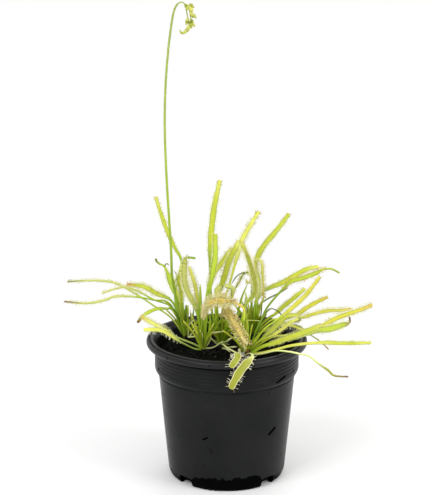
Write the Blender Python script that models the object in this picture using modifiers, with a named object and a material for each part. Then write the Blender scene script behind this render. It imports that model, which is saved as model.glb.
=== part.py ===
"""A potted Cape sundew: a 9 cm nursery pot of peat, five leaf rosettes and one nodding flower scape.

Units are metres, written as millimetres times MM. +Z is up, +X is right, +Y is away from the front.
The origin is the middle of the pot's underside.
"""

import math
from typing import NamedTuple

import bmesh
import bpy
from mathutils import Matrix, Vector

MM = 0.001

# Pot: radii and heights in millimetres
POT_HEIGHT = 80.0
RIM_RADIUS = 45.0
MOUTH_RADIUS = 41.2
LIP_DEPTH = 3.8
COLLAR_RADIUS = 40.5
COLLAR_BOTTOM = 61.5
WALL_TOP_RADIUS = 38.2
WALL_FOOT_RADIUS = 33.1
BASE_RADIUS = 31.3
WALL = 1.2
FLOOR = 1.4
POT_STEPS = 48

# Drainage: slots through the bottom corner and holes through the floor
SLOT_COUNT = 4
SLOT_SIZE = (8.0, 9.0, 6.2)
SLOT_RADIUS = 31.5
HOLE_COUNT = 4
HOLE_RADIUS = 3.0
HOLE_RING = 17.0

# Peat: it fills the pot to just under the mouth
GAP = 0.3
PEAT_TOP = 74.0
PEAT_EDGE = 72.4

# The plant's points below are on a plan that is a little too wide and too deep: this brings them to their places
PLAN_SCALE = (0.975, 0.84, 0.983)
PLAN_SHIFT = (0.5, -4.5, 1.3)

# Rosettes: a short stub for each plant, with the leaf bases set round it in three tiers
CROWN_RADIUS = 4.2
CROWN_HALF_HEIGHT = 2.2
CROWN_MIDDLE = PEAT_TOP + GAP + CROWN_HALF_HEIGHT
TIER_HEIGHTS = (75.6, 77.2, 78.5)
CROWNS = {
    "a": (-22.9, 13.1),
    "b": (-13.2, -8.7),
    "c": (-2.9, -0.3),
    "d": (10.2, -14.6),
    "e": (15.1, 19.0),
}

# Leaves: a narrow petiole that widens into a strap blade
PETIOLE_WIDTH = 1.6
LEAF_THICKNESS = 0.8
LEAF_KEEL = 0.12
LEAF_SEGMENTS = 9
CURL_SEGMENTS = 22
DENSE_STEPS = 24


class Leaf(NamedTuple):
    """One leaf. The points, in millimetres on the plan, run along its middle line from the rosette to its tip."""

    crown: str
    tier: int
    points: list
    blade: float  # how far along the leaf its blade starts, from 0 to 1
    width: float  # of the blade, in millimetres
    roll: float = 0.0  # degrees that the face turns about the middle line
    turn: float = 0.0  # degrees that the base moves round its crown
    tone: str = "green"


LEAVES = {
    # left side
    "leaf_left_1": Leaf("a", 0, [(-33, 27, 85), (-43.5, 31, 91.5), (-51.5, 33, 96.5), (-61.5, 35, 102),
                                 (-70.5, 37, 104.5), (-81.5, 38.5, 104.5), (-94.3, 40, 103.5)],
                                0.5, 1.3, -35, 0, "pale"),
    "leaf_left_2": Leaf("a", 1, [(-33, 18, 95.5), (-43, 12, 100), (-53, 9, 102.5), (-64, 6, 103.5),
                                 (-71, 4, 101.5), (-80.5, 2, 100.5), (-93, 0, 102)], 0.55, 1.4, -35, 0, "pale"),
    "leaf_left_3": Leaf("a", 1, [(-32, 33, 92.5), (-41.5, 37, 97), (-49.5, 40, 100.5), (-60, 45, 100.5)],
                                0.5, 2.8, -40, 0, "green"),
    "leaf_left_4": Leaf("a", 2, [(-31.5, 24, 91.5), (-43, 24, 97), (-53, 25, 102), (-61, 25, 104),
                                 (-73, 25, 100.5)], 0.6, 1.3, -35, -10, "pale"),
    "leaf_left_5": Leaf("a", 0, [(-30, 14, 92.5), (-35.5, 11, 95), (-41, 8, 95.5), (-46, 5, 94), (-49, 3, 92),
                                 (-51.5, 0, 89.5)], 0.6, 2.2, -35, 8, "dry"),
    "leaf_left_6": Leaf("b", 1, [(-19.5, -5, 78.5), (-28, -5, 82), (-35.5, -6, 87), (-42.5, -6.5, 91),
                                 (-49.5, -7, 95.5)], 0.5, 2.8, -35, 0, "pale"),
    "leaf_left_7": Leaf("b", 0, [(-19.5, -9, 77), (-26.5, -15, 82.5), (-33, -19, 88), (-38.5, -22, 91.5),
                                 (-47, -25, 92.5)], 0.45, 3.2, -35, 10, "pale"),
    # upper left
    "leaf_tall_1": Leaf("a", 2, [(-27, 32, 100), (-27, 35, 117), (-30.5, 36, 124.5), (-34, 37.5, 131.5),
                                 (-38, 39.5, 142), (-42, 41, 154.5)], 0.6, 2.4, -30, 0, "green"),
    "leaf_tall_2": Leaf("b", 2, [(-16, -5, 89), (-18.5, -6, 101), (-22, -6, 108), (-24, -6, 114),
                                 (-24.5, -6, 122), (-24, -6, 128.5), (-22.5, -6, 129.5), (-18, -6, 129)],
                                0.42, 3.2, -80, 0, "hairy"),
    "leaf_tall_3": Leaf("a", 1, [(-28, 36, 93.5), (-31.5, 40, 98.5), (-33.5, 43, 103.5), (-35.5, 45, 107.5),
                                 (-37.5, 46, 111.5), (-40, 47, 112.5), (-42, 48, 114), (-42.5, 49, 115.5)],
                                0.35, 3.8, -20, -10, "green"),
    "leaf_tall_4": Leaf("a", 2, [(-27, 20, 90.5), (-26.5, 21, 97.5), (-27, 21.5, 103.5), (-28.5, 22, 108),
                                 (-28, 22, 112), (-27.5, 22, 116), (-26.5, 21.5, 119)],
                                0.5, 2.2, -70, 0, "green"),
    "leaf_tall_5": Leaf("a", 2, [(-24.5, 26, 86.5), (-24, 27, 93)], 0.7, 1.8, 0, -60, "green"),
    "leaf_tall_6": Leaf("b", 1, [(-15.5, 0, 88.5), (-17, 3, 97.5), (-17.5, 5, 104), (-19, 8, 110.5),
                                 (-20.5, 10, 115), (-22, 12, 119.5)], 0.5, 2.4, 0, 0, "green"),
    # middle
    "leaf_middle_1": Leaf("c", 2, [(-8.5, 7, 90), (-10, 10, 110), (-10, 13, 131), (-9, 15, 143.5),
                                   (-7.5, 16, 155), (-4.5, 18, 169)], 0.55, 3.2, 0, 0, "green"),
    "leaf_middle_2": Leaf("b", 2, [(-12, -7, 93), (-10, -9, 111), (-8, -11, 124.5), (-7, -12, 132),
                                   (-7, -14, 145)], 0.6, 3.0, -38, 0, "green"),
    "leaf_middle_3": Leaf("b", 2, [(-13, -1, 97), (-11, 2, 110), (-8, 4, 117.5), (-3, 6.5, 124), (0, 8, 128.5),
                                   (2.5, 9, 131.5)], 0.6, 2.9, 50, 0, "green"),
    "leaf_middle_4": Leaf("c", 2, [(-7, 3, 97), (-4.5, 2, 108.5), (-2, 2, 116), (0, 1, 123.5), (2.5, 0.5, 130),
                                   (4.5, 0, 134), (6.5, 0, 138)], 0.5, 3.2, 105, 40, "green"),
    "leaf_middle_5": Leaf("c", 1, [(-3, 12, 94), (2, 20, 111), (6, 27, 124.5), (9, 31, 132.5), (13, 34, 139),
                                   (18, 38, 146.5)], 0.62, 2.6, 33, 0, "pale"),
    "leaf_middle_6": Leaf("d", 2, [(9, -11, 89), (9, -10.5, 98.5), (10.5, -10, 104), (14, -9, 107.5),
                                   (15.5, -8.5, 111), (15, -8, 116.5), (13.5, -7.5, 122.5), (11, -7, 130.5),
                                   (7, -6, 139.5)], 0.45, 2.5, 0, 0, "green"),
    "leaf_furled_1": Leaf("c", 1, [(-1.5, 1, 90), (0.5, -2, 100), (2, -4, 104.5), (3, -6, 109.5),
                                   (2, -7.5, 112.5), (-0.5, -8.5, 113.5), (-4, -9, 113.5), (-6.5, -9.5, 111),
                                   (-5.5, -10, 109), (-2.5, -10, 109), (0.5, -10, 111)],
                                  0.4, 2.4, 30, 0, "pale"),
    "leaf_furled_2": Leaf("c", 2, [(-1, 4, 91.5), (1, 2, 102.5), (3, 1.5, 107.5), (5.5, 1, 111.5),
                                   (7.5, 0.5, 115.5), (9, 0, 118.5), (11.5, -0.5, 119.5), (13, -1, 118),
                                   (13.5, -1.5, 115.5), (12, -2, 114), (10, -2.5, 115)],
                                  0.5, 2.0, 0, 0, "green"),
    "leaf_arched_1": Leaf("b", 1, [(-15, -10, 88), (-13.5, -14, 98.5), (-11.5, -17, 104.5), (-8, -19, 107.5),
                                   (-3.5, -21, 108.5), (1, -23, 108.5), (5.5, -25, 107.5), (9, -27, 105),
                                   (9, -28, 99)], 0.4, 4.6, 45, 0, "hairy"),
    "leaf_arched_2": Leaf("c", 0, [(-3.5, -3, 89), (-2.5, -11, 98.5), (0.5, -16, 100.5), (3, -20, 97),
                                   (6.5, -26, 92), (9, -30, 88.5), (11, -32, 86)], 0.5, 2.8, 45, -12, "hairy"),
    # front, over the lip
    "leaf_front_1": Leaf("c", 0, [(-3, -7, 79), (0, -18.5, 80), (3, -30.5, 81.8), (5, -41, 83.5),
                                  (5.4, -46.5, 82.8), (3.7, -50, 81.2), (1.5, -51.3, 78.5)],
                                 0.76, 4.4, 0, 40, "pale"),
    "leaf_front_2": Leaf("d", 0, [(12.5, -25.5, 79), (13.7, -37.5, 81.5), (13.3, -45.5, 82.6),
                                  (10.8, -50, 81.2), (6.7, -51.6, 76.2), (4, -52, 71.5), (1.6, -52, 66.3)],
                                 0.56, 4.6, 0, -8, "pale"),
    # right, from the front rosette
    "leaf_right_1": Leaf("d", 0, [(19.5, -14, 79.5), (27.5, -17, 83), (35, -19, 86.5), (43, -21, 90),
                                  (52, -23, 94.5)], 0.32, 4.4, 35, -9, "green"),
    "leaf_right_2": Leaf("d", 0, [(19.5, -18, 77), (27.5, -21, 80), (35, -24, 83), (43.5, -26.5, 85),
                                  (53.5, -28, 86), (65, -31, 86.5), (79.5, -35, 88)],
                                 0.62, 2.6, 35, -11, "green"),
    "leaf_right_3": Leaf("d", 0, [(18.5, -22, 77.5), (27, -29, 81.5), (34, -35, 82.8), (39.5, -38, 82.5),
                                  (45, -41, 82), (49.5, -44, 79), (55, -48, 76), (58.5, -50, 73.5),
                                  (66, -53.5, 74)], 0.75, 1.6, 20, -14, "dry"),
    "leaf_right_4": Leaf("d", 1, [(18, -4, 80), (25.5, 0, 85.5), (30, 2, 90), (34, 4, 92.5), (38, 6, 92.5),
                                  (41.5, 8, 90.5), (39.5, 10, 88), (35.5, 12, 86.5)],
                                 0.3, 3.2, 30, 10, "green"),
    "leaf_right_5": Leaf("d", 2, [(18, -10.5, 81.5), (26, -12, 86), (32, -13, 90.5), (36, -13.5, 94),
                                  (40, -14, 96)], 0.45, 2.6, 30, -25, "green"),
    "leaf_right_6": Leaf("d", 2, [(20, -7, 87), (27.5, -5, 92.5), (34, -3, 97), (39.5, -1, 101.5),
                                  (44.5, 0.5, 106), (48.5, 2, 111), (52.5, 4, 116)], 0.5, 2.8, 30, 8, "green"),
    "leaf_right_7": Leaf("d", 1, [(24.5, -6, 82.5), (35.5, -5, 84), (46, -4, 86), (54.5, -3, 89),
                                  (61, -2, 92.5), (70, 0, 95.5), (76.5, 1, 97.5), (82.5, 2, 100)],
                                 0.55, 3.0, 35, 8, "green"),
    "leaf_right_8": Leaf("d", 1, [(26, -11, 81), (35.5, -12, 83), (44, -13, 86), (51, -13.5, 89),
                                  (57.5, -14, 90), (64, -13.5, 92), (68.5, -13, 93.5), (68.5, -13, 97)],
                                 0.62, 4.2, 35, 0, "green"),
    "leaf_right_9": Leaf("d", 2, [(17, -4, 88), (21, 0, 94.5), (24, 3, 97), (26.5, 5, 96.5), (29.5, 7, 94),
                                  (31.5, 8, 91)], 0.6, 1.4, 0, 30, "dry"),
    # right, from the back rosette
    "leaf_back_1": Leaf("e", 2, [(14, 34, 97), (15.5, 39, 111.5), (17.5, 41.5, 118.5), (21.5, 44, 125),
                                 (26, 46, 130), (31, 48, 136), (36, 50, 142.5)], 0.5, 3.1, 40, 0, "green"),
    "leaf_back_2": Leaf("e", 2, [(16.5, 26, 94.5), (16.5, 25, 103), (16, 24, 112), (16, 23, 119),
                                 (17.5, 22, 121.5), (19.5, 21, 119.5), (20, 20, 113), (20.5, 19.5, 105.5),
                                 (20.5, 19, 99.5)], 0.3, 1.6, 0, 0, "hairy"),
    "leaf_back_3": Leaf("e", 2, [(17, 33, 92), (18.5, 36, 103), (16, 37, 115)], 0.5, 2.0, 0, -30, "green"),
    "leaf_back_4": Leaf("e", 1, [(15.5, 37, 88.5), (20, 42, 96), (24, 46, 98), (31.5, 50, 100),
                                 (39.5, 54, 103.5), (46.5, 58, 106.5), (54.5, 62, 107.5)],
                                0.45, 3.4, 30, 10, "green"),
    "leaf_back_5": Leaf("e", 1, [(20, 28, 84.5), (23, 28.5, 91), (28.5, 29, 98), (33, 29, 103),
                                 (37, 29.5, 106.5), (44, 30, 108.5), (51.5, 30, 111.5), (55, 30, 113.5),
                                 (60, 30, 114), (65, 30, 111.5)], 0.5, 3.0, 35, 0, "green"),
    "leaf_back_6": Leaf("e", 1, [(16.5, 33, 83.5), (18.5, 36, 90), (23, 38, 93.5), (29.5, 39.5, 96.5),
                                 (35.5, 40.5, 100)], 0.6, 1.5, 0, 0, "dry"),
    "leaf_back_7": Leaf("e", 0, [(21.5, 35, 80.5), (27.5, 38, 84), (33, 42, 88), (39, 46, 92), (46, 50, 97)],
                                0.45, 2.8, 30, 0, "green"),
    "leaf_back_8": Leaf("e", 0, [(25.5, 31, 82.5), (34, 33, 83), (41, 35, 85), (46.5, 37, 88.5), (51.5, 39, 91),
                                 (59, 40, 94.5)], 0.5, 2.8, 35, 0, "green"),
    "leaf_back_9": Leaf("e", 0, [(28, 25, 81), (36.5, 25.5, 83.5), (44.5, 25.5, 86), (51.5, 25, 88.5),
                                 (59, 25, 90), (66, 24.5, 90.5), (72, 24, 91.5)], 0.5, 2.3, 35, 0, "green"),
    "leaf_back_10": Leaf("e", 0, [(25, 23, 79), (39, 20, 83), (49, 15, 77.5), (54, 13, 74.5), (58.5, 11, 70.5)],
                                 0.6, 1.2, 0, -12, "dry"),
    "leaf_back_11": Leaf("e", 0, [(20.5, 20, 78.5), (29, 16, 83.5), (36.5, 14.5, 84), (44, 13, 81.5)],
                                 0.45, 2.2, 35, -12, "hairy"),
    "leaf_back_12": Leaf("e", 2, [(12, 25, 81.5), (10.5, 24, 88.5)], 0.7, 1.2, 0, 0, "green"),
    # spent petioles that have lost their blades
    "stalk_1": Leaf("b", 1, [(-8, -8, 77.5), (-2.5, -9, 81.5)], 0.9, 1.2, 0, 0, "dry"),
    "stalk_2": Leaf("b", 1, [(-10.5, -2, 79), (-10, 1, 80.5), (-9, 4, 81.5)], 0.9, 1.2, 0, 0, "dry"),
    "stalk_3": Leaf("c", 1, [(-6.5, -2, 78), (-10.5, -5, 83)], 0.9, 1.2, 0, 0, "dry"),
    "stalk_4": Leaf("c", 1, [(1, 6, 82.5), (7.5, 8, 87.5), (13, 9, 88.5), (19, 9.5, 88)],
                            0.8, 1.2, 0, 0, "pale"),
}

# Flower scape: it rises in front of the left rosette and nods over at the top
SCAPE_RADIUS = 0.75
SCAPE_POINTS = [(-25, 15.5, 77.5), (-28, 16.5, 92), (-31.8, 18, 110), (-32.6, 17, 131), (-34.6, 16, 169),
                (-35.4, 15, 199), (-34.8, 14, 222), (-33.1, 12, 242.5), (-31, 10, 258.2), (-29.3, 9.5, 265.7),
                (-27.4, 9, 268.7), (-25.6, 9, 269.5), (-24.2, 9, 269), (-23.5, 9, 267.7), (-22.7, 9, 263.1)]
TUBE_STEPS = 3

# Flower buds: two rows of closed buds along the nodding tip, as tubes of the buds' outer shape
BUD_RADIUS = 1.5
BUD_ROWS = {
    "buds_curl": [(-21.2, 9, 258.1), (-20.9, 9, 256.6), (-21.6, 9, 254.9), (-23.3, 9, 253.7), (-25, 9, 253.3)],
    "buds_row": [(-20.6, 8, 267.1), (-19.5, 8, 264.1), (-18.7, 8, 261.4), (-18.3, 8, 258.6)],
}

COLOURS = {
    "black_plastic": ((0.016, 0.017, 0.016), 0.45),
    "peat": ((0.012, 0.009, 0.007), 0.95),
    "stub": ((0.10, 0.035, 0.015), 0.8),
    "green": ((0.36, 0.50, 0.03), 0.45),
    "pale": ((0.55, 0.60, 0.10), 0.45),
    "hairy": ((0.66, 0.52, 0.22), 0.6),
    "dry": ((0.30, 0.20, 0.06), 0.7),
    "scape": ((0.27, 0.38, 0.05), 0.5),
    "bud": ((0.42, 0.50, 0.06), 0.5),
}


def start_scene():
    for obj in list(bpy.data.objects):
        bpy.data.objects.remove(obj)
    parts = bpy.data.collections.new("potted_cape_sundew")
    cutters = bpy.data.collections.new("cutters")
    for collection in (parts, cutters):
        bpy.context.scene.collection.children.link(collection)
    cutters.hide_render = True
    return parts, cutters


def make_material(name):
    colour, roughness = COLOURS[name]
    material = bpy.data.materials.new(name)
    material.use_nodes = True
    shader = material.node_tree.nodes["Principled BSDF"]
    shader.inputs["Base Color"].default_value = (*colour, 1.0)
    shader.inputs["Roughness"].default_value = roughness
    return material


def add_object(name, data, collection, material=None):
    obj = bpy.data.objects.new(name, data)
    collection.objects.link(obj)
    if material:
        data.materials.append(material)
    return obj


def mesh_from(name, bm):
    mesh = bpy.data.meshes.new(name)
    bm.to_mesh(mesh)
    bm.free()
    mesh.shade_smooth()
    return mesh


def turned(name, profile, steps, collection, material):
    """A solid of revolution about Z. The profile's (radius, height) points end on the axis."""
    mesh = bpy.data.meshes.new(name)
    points = [(radius * MM, 0.0, height * MM) for radius, height in profile]
    mesh.from_pydata(points, [(i, i + 1) for i in range(len(points) - 1)], [])
    obj = add_object(name, mesh, collection, material)
    screw = obj.modifiers.new("Screw", "SCREW")
    screw.steps = steps
    screw.render_steps = steps
    screw.use_merge_vertices = True
    screw.merge_threshold = 0.0001
    screw.use_smooth_shade = True
    return obj


def pot_profile():
    """From the middle of the floor out, up the inside, over the lip, down the outside and back."""
    lip_foot = POT_HEIGHT - LIP_DEPTH
    return [
        (0.0, FLOOR),
        (BASE_RADIUS - WALL, FLOOR),
        (WALL_TOP_RADIUS - WALL, COLLAR_BOTTOM - 4.0),
        (COLLAR_RADIUS - WALL - 0.4, COLLAR_BOTTOM + 2.0),
        (COLLAR_RADIUS - WALL, lip_foot + 1.0),
        (MOUTH_RADIUS, POT_HEIGHT - 0.6),
        (MOUTH_RADIUS + 0.6, POT_HEIGHT),
        (RIM_RADIUS - 1.4, POT_HEIGHT - 0.3),
        (RIM_RADIUS - 1.2, POT_HEIGHT - 0.9),
        (RIM_RADIUS - 0.6, POT_HEIGHT - 0.8),
        (RIM_RADIUS, POT_HEIGHT - 1.6),
        (RIM_RADIUS, lip_foot + 0.5),
        (RIM_RADIUS - 0.5, lip_foot),
        (COLLAR_RADIUS, lip_foot),
        (COLLAR_RADIUS - 0.4, COLLAR_BOTTOM + 2.0),
        (COLLAR_RADIUS - 1.4, COLLAR_BOTTOM),
        (WALL_TOP_RADIUS, COLLAR_BOTTOM - 4.0),
        (WALL_FOOT_RADIUS, 3.5),
        (BASE_RADIUS + 0.9, 1.0),
        (BASE_RADIUS, 0.0),
        (0.0, 0.0),
    ]


def slot_cutter(index, collection):
    """A box across the pot's bottom corner, which leaves a notch in its foot."""
    angle = math.radians(45.0) + index * 2.0 * math.pi / SLOT_COUNT
    bm = bmesh.new()
    bmesh.ops.create_cube(bm, size=1.0)
    bmesh.ops.scale(bm, vec=[side * MM for side in SLOT_SIZE], verts=bm.verts)
    cutter = add_object(f"slot_cutter_{index}", mesh_from("slot", bm), collection)
    cutter.location = Vector((math.cos(angle), math.sin(angle), 0.0)) * SLOT_RADIUS * MM
    cutter.location.z = (SLOT_SIZE[2] / 2.0 - 1.0) * MM
    cutter.rotation_euler.z = angle
    return cutter


def hole_cutter(index, collection):
    """A cylinder through the pot's floor."""
    angle = index * 2.0 * math.pi / HOLE_COUNT
    radius = HOLE_RADIUS * MM
    bm = bmesh.new()
    bmesh.ops.create_cone(bm, cap_ends=True, segments=16, radius1=radius, radius2=radius, depth=6.0 * MM)
    cutter = add_object(f"hole_cutter_{index}", mesh_from("hole", bm), collection)
    cutter.location = Vector((math.cos(angle), math.sin(angle), 0.0)) * HOLE_RING * MM
    return cutter


def make_pot(parts, cutters, material):
    pot = turned("pot", pot_profile(), POT_STEPS, parts, material)
    tools = [slot_cutter(i, cutters) for i in range(SLOT_COUNT)]
    tools += [hole_cutter(i, cutters) for i in range(HOLE_COUNT)]
    for tool in tools:
        tool.hide_render = True
        tool.display_type = "WIRE"
        cut = pot.modifiers.new(tool.name, "BOOLEAN")
        cut.operation = "DIFFERENCE"
        cut.object = tool


def make_peat(parts, material):
    """The peat follows the inside of the pot, a small gap away from it, with a slightly domed top."""
    profile = [
        (0.0, PEAT_TOP),
        (26.0, PEAT_TOP),
        (35.0, PEAT_TOP - 0.5),
        (COLLAR_RADIUS - WALL - 0.4 - GAP, PEAT_EDGE),
        (COLLAR_RADIUS - WALL - 0.4 - GAP, COLLAR_BOTTOM + 2.0),
        (WALL_TOP_RADIUS - WALL - GAP, COLLAR_BOTTOM - 4.0),
        (BASE_RADIUS - WALL - GAP, FLOOR + GAP),
        (0.0, FLOOR + GAP),
    ]
    turned("peat", profile, POT_STEPS, parts, material)


def make_crown(letter, parts, material):
    bm = bmesh.new()
    bmesh.ops.create_uvsphere(bm, u_segments=10, v_segments=6, radius=CROWN_RADIUS * MM)
    bmesh.ops.scale(bm, vec=(1.0, 1.0, CROWN_HALF_HEIGHT / CROWN_RADIUS), verts=bm.verts)
    crown = add_object(f"crown_{letter}", mesh_from(f"crown_{letter}", bm), parts, material)
    x, y = CROWNS[letter]
    crown.location = Vector((x, y, CROWN_MIDDLE)) * MM


def spline_through(points, steps):
    """A Catmull-Rom curve through the points, with this many steps between each two."""
    points = [Vector(point) for point in points]
    points = [2 * points[0] - points[1], *points, 2 * points[-1] - points[-2]]
    path = []
    for before, start, end, after in zip(points, points[1:], points[2:], points[3:]):
        for step in range(steps):
            t = step / steps
            path.append(0.5 * (2 * start + (end - before) * t
                               + (2 * before - 5 * start + 4 * end - after) * t ** 2
                               + (3 * start - before - 3 * end + after) * t ** 3))
    path.append(points[-2])
    return path


def even_path(points, samples):
    """Evenly spaced points along the curve through the given ones."""
    dense = spline_through(points, DENSE_STEPS)
    lengths = [0.0]
    for start, end in zip(dense, dense[1:]):
        lengths.append(lengths[-1] + (end - start).length)
    path, index = [], 0
    for sample in range(samples):
        goal = lengths[-1] * sample / (samples - 1)
        while index < len(dense) - 2 and lengths[index + 1] < goal:
            index += 1
        share = (goal - lengths[index]) / (lengths[index + 1] - lengths[index])
        path.append(dense[index].lerp(dense[index + 1], share))
    return path


def placed(points):
    """Points of the plan at their places on the plant, in millimetres."""
    return [Vector(point) * Vector(PLAN_SCALE) + Vector(PLAN_SHIFT) for point in points]


def leaf_base(leaf, first):
    """The point beside the crown where the petiole starts, facing the leaf's first point."""
    x, y = CROWNS[leaf.crown]
    bearing = math.atan2(first.y - y, first.x - x) + math.radians(leaf.turn)
    height = TIER_HEIGHTS[leaf.tier]
    rise = max(0.0, (height - CROWN_MIDDLE) / CROWN_HALF_HEIGHT)
    reach = CROWN_RADIUS * math.sqrt(1.0 - rise ** 2) + GAP + LEAF_THICKNESS
    return x + reach * math.cos(bearing), y + reach * math.sin(bearing), height + 0.3 * leaf.tier


def half_width(leaf, along):
    """Half of the leaf's width at a share of its length: petiole, then blade, then a rounded tip."""
    petiole = min(PETIOLE_WIDTH, leaf.width)
    spread = min(1.0, max(0.0, (along - leaf.blade + 0.1) / 0.2))
    width = petiole + (leaf.width - petiole) * spread
    tip = min(1.0, (1.0 - along) / 0.08)
    return 0.5 * width * (0.4 + 0.6 * math.sqrt(tip))


def make_leaf(name, leaf, parts, material):
    """A strip three points wide, laid along the leaf's path with a shallow keel, then thickened."""
    segments = CURL_SEGMENTS if len(leaf.points) > 6 else LEAF_SEGMENTS
    points = placed(leaf.points)
    path = even_path([leaf_base(leaf, points[0]), *points], segments + 1)
    outward = (path[-1] - path[0]) * Vector((1.0, 1.0, 0.0))
    across = outward.cross(Vector((0.0, 0.0, 1.0))).normalized()
    bm = bmesh.new()
    bmesh.ops.create_grid(bm, x_segments=2, y_segments=segments, size=0.5)
    for vert in bm.verts:
        row = round((vert.co.y + 0.5) * segments)
        before, after = path[max(0, row - 1)], path[min(segments, row + 1)]
        tangent = (after - before).normalized()
        side = (across - across.dot(tangent) * tangent).normalized()
        side = Matrix.Rotation(math.radians(leaf.roll), 3, tangent) @ side
        keel = side.cross(tangent).normalized() * LEAF_KEEL * leaf.width
        offset = 2.0 * vert.co.x
        middle = path[row] + keel * (1.0 - abs(offset))
        vert.co = (middle + side * offset * half_width(leaf, row / segments)) * MM
    bmesh.ops.recalc_face_normals(bm, faces=bm.faces)
    obj = add_object(name, mesh_from(name, bm), parts, material)
    skin = obj.modifiers.new("Solidify", "SOLIDIFY")
    skin.thickness = LEAF_THICKNESS * MM
    skin.offset = 0.0


def make_tube(name, points, radius, parts, material):
    curve = bpy.data.curves.new(name, "CURVE")
    curve.dimensions = "3D"
    curve.bevel_depth = radius * MM
    curve.bevel_resolution = 2
    curve.use_fill_caps = True
    spline = curve.splines.new("POLY")
    path = spline_through(placed(points), TUBE_STEPS)
    spline.points.add(len(path) - 1)
    for target, point in zip(spline.points, path):
        target.co = (*(point * MM), 1.0)
    add_object(name, curve, parts, material)


def main():
    parts, cutters = start_scene()
    materials = {name: make_material(name) for name in COLOURS}
    make_pot(parts, cutters, materials["black_plastic"])
    make_peat(parts, materials["peat"])
    for letter in CROWNS:
        make_crown(letter, parts, materials["stub"])
    for name, leaf in LEAVES.items():
        make_leaf(name, leaf, parts, materials[leaf.tone])
    make_tube("flower_scape", SCAPE_POINTS, SCAPE_RADIUS, parts, materials["scape"])
    for name, points in BUD_ROWS.items():
        make_tube(name, points, BUD_RADIUS, parts, materials["bud"])


main()
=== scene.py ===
"""The looks of a potted Cape sundew: leaves with their gland hairs, scape and buds, peat and nursery pot.

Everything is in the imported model's frame, in metres. The plant's and pot's own sizes are in millimetres
and MM scales them.
"""

import math
from typing import NamedTuple

import bmesh
import bpy
import numpy as np
from mathutils import Euler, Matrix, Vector, noise


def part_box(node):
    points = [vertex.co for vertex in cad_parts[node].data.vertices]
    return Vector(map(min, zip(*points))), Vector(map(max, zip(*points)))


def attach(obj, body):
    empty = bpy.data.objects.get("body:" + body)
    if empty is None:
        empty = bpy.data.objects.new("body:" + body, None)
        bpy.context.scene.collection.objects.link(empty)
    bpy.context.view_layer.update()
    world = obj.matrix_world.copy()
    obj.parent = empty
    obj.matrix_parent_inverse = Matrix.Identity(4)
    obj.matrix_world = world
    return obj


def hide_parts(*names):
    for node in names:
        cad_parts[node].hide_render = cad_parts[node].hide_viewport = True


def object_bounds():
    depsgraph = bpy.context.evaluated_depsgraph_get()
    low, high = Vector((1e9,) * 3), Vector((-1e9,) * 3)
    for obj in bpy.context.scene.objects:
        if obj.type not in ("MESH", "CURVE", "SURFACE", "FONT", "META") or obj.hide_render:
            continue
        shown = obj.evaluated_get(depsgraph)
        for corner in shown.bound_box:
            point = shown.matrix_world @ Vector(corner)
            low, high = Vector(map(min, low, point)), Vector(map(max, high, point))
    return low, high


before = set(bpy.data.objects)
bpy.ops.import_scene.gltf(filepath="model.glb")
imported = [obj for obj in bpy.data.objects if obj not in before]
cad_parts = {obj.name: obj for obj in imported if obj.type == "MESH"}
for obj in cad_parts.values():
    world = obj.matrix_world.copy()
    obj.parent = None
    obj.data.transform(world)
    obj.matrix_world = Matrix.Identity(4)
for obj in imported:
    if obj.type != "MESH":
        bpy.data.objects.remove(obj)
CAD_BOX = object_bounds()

MM = 0.001
TAU = 2.0 * math.pi
GOLDEN_ANGLE = 2.399  # radians from one part of a rosette to the next, as plants space them

# Camera for a picture of 435 x 495, in front of the pot and above it: places in metres, and the lens and
# the sensor in millimetres
CAMERA_PLACE = (0.0, -0.9, 0.3824)
CAMERA_AIM = (-0.0052, 0.0, 0.1316)
CAMERA_LENS = 123.2
CAMERA_SENSOR = 36.0

# Floor and light: powers in watts, everything else in metres
WHITE = (1.0, 1.0, 1.0)
FLOOR_RADIUS = 0.9
FLOOR_FADE = (0.10, 0.36)  # where the floor's shading starts and ends to melt into the white
SOFT_LIGHT = 0.70  # strength of the world on matt surfaces; it is 1 where it is seen or mirrored
LAMP_AIM = (0.0, 0.0, 0.12)
LAMPS = {  # place, size and power
    "key": ((-0.7, -0.8, 1.1), (0.7, 0.7), 9.0),
    "fill": ((0.9, -0.5, 0.8), (0.6, 0.8), 5.8),
    "back": ((0.2, 0.9, 0.9), (1.0, 0.6), 4.0),
}

# A leaf's mesh, and what leaves have in common; lengths in millimetres
LEAF_ROWS = 90
LEAF_ROUND = 16
DENSE_STEPS = 24
PETIOLE_WIDTH = 1.3
TAIL_WIDTH = 1.3
TIP_TAPER = 0.25
TIER_HEIGHTS = (75.2, 76.0, 76.8)  # where a petiole starts, for each tier of its rosette
CROWN_REACH = {"a": 1.4, "b": 1.2, "c": 1.2, "d": 3.0, "e": 2.0}  # and how far from the rosette's middle

# The plant's points are on a plan that is a little too wide and too deep. This puts them in their places.
PLAN_SCALE = (0.975, 0.84, 0.983)
PLAN_SHIFT = (0.5, -4.5, 1.3)

# Surface map of a leaf: its skin lies left of BLADE_LIMIT and its gland hairs lie right of it, from the
# stalk's foot at HAIR_START to the drop from HAIR_END on. Aged hairs lie higher up than fresh ones.
BLADE_LIMIT = 0.5
HAIR_START = 0.54
HAIR_END = 0.90
DROP_START = HAIR_END + 0.03
FRESH_HAIR = 0.25
AGED_HAIR = 0.75
HAIR_BAND = 0.1

# Rosettes: a stub, the bases of old leaves round it, and the young leaves in its middle
BROWN_CROWNS = "ad"
STUB_SHARE = 0.55
STUB_COUNT = 7
YOUNG_COUNT = 16
YOUNG_LENGTH = (8.0, 24.0)

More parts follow.
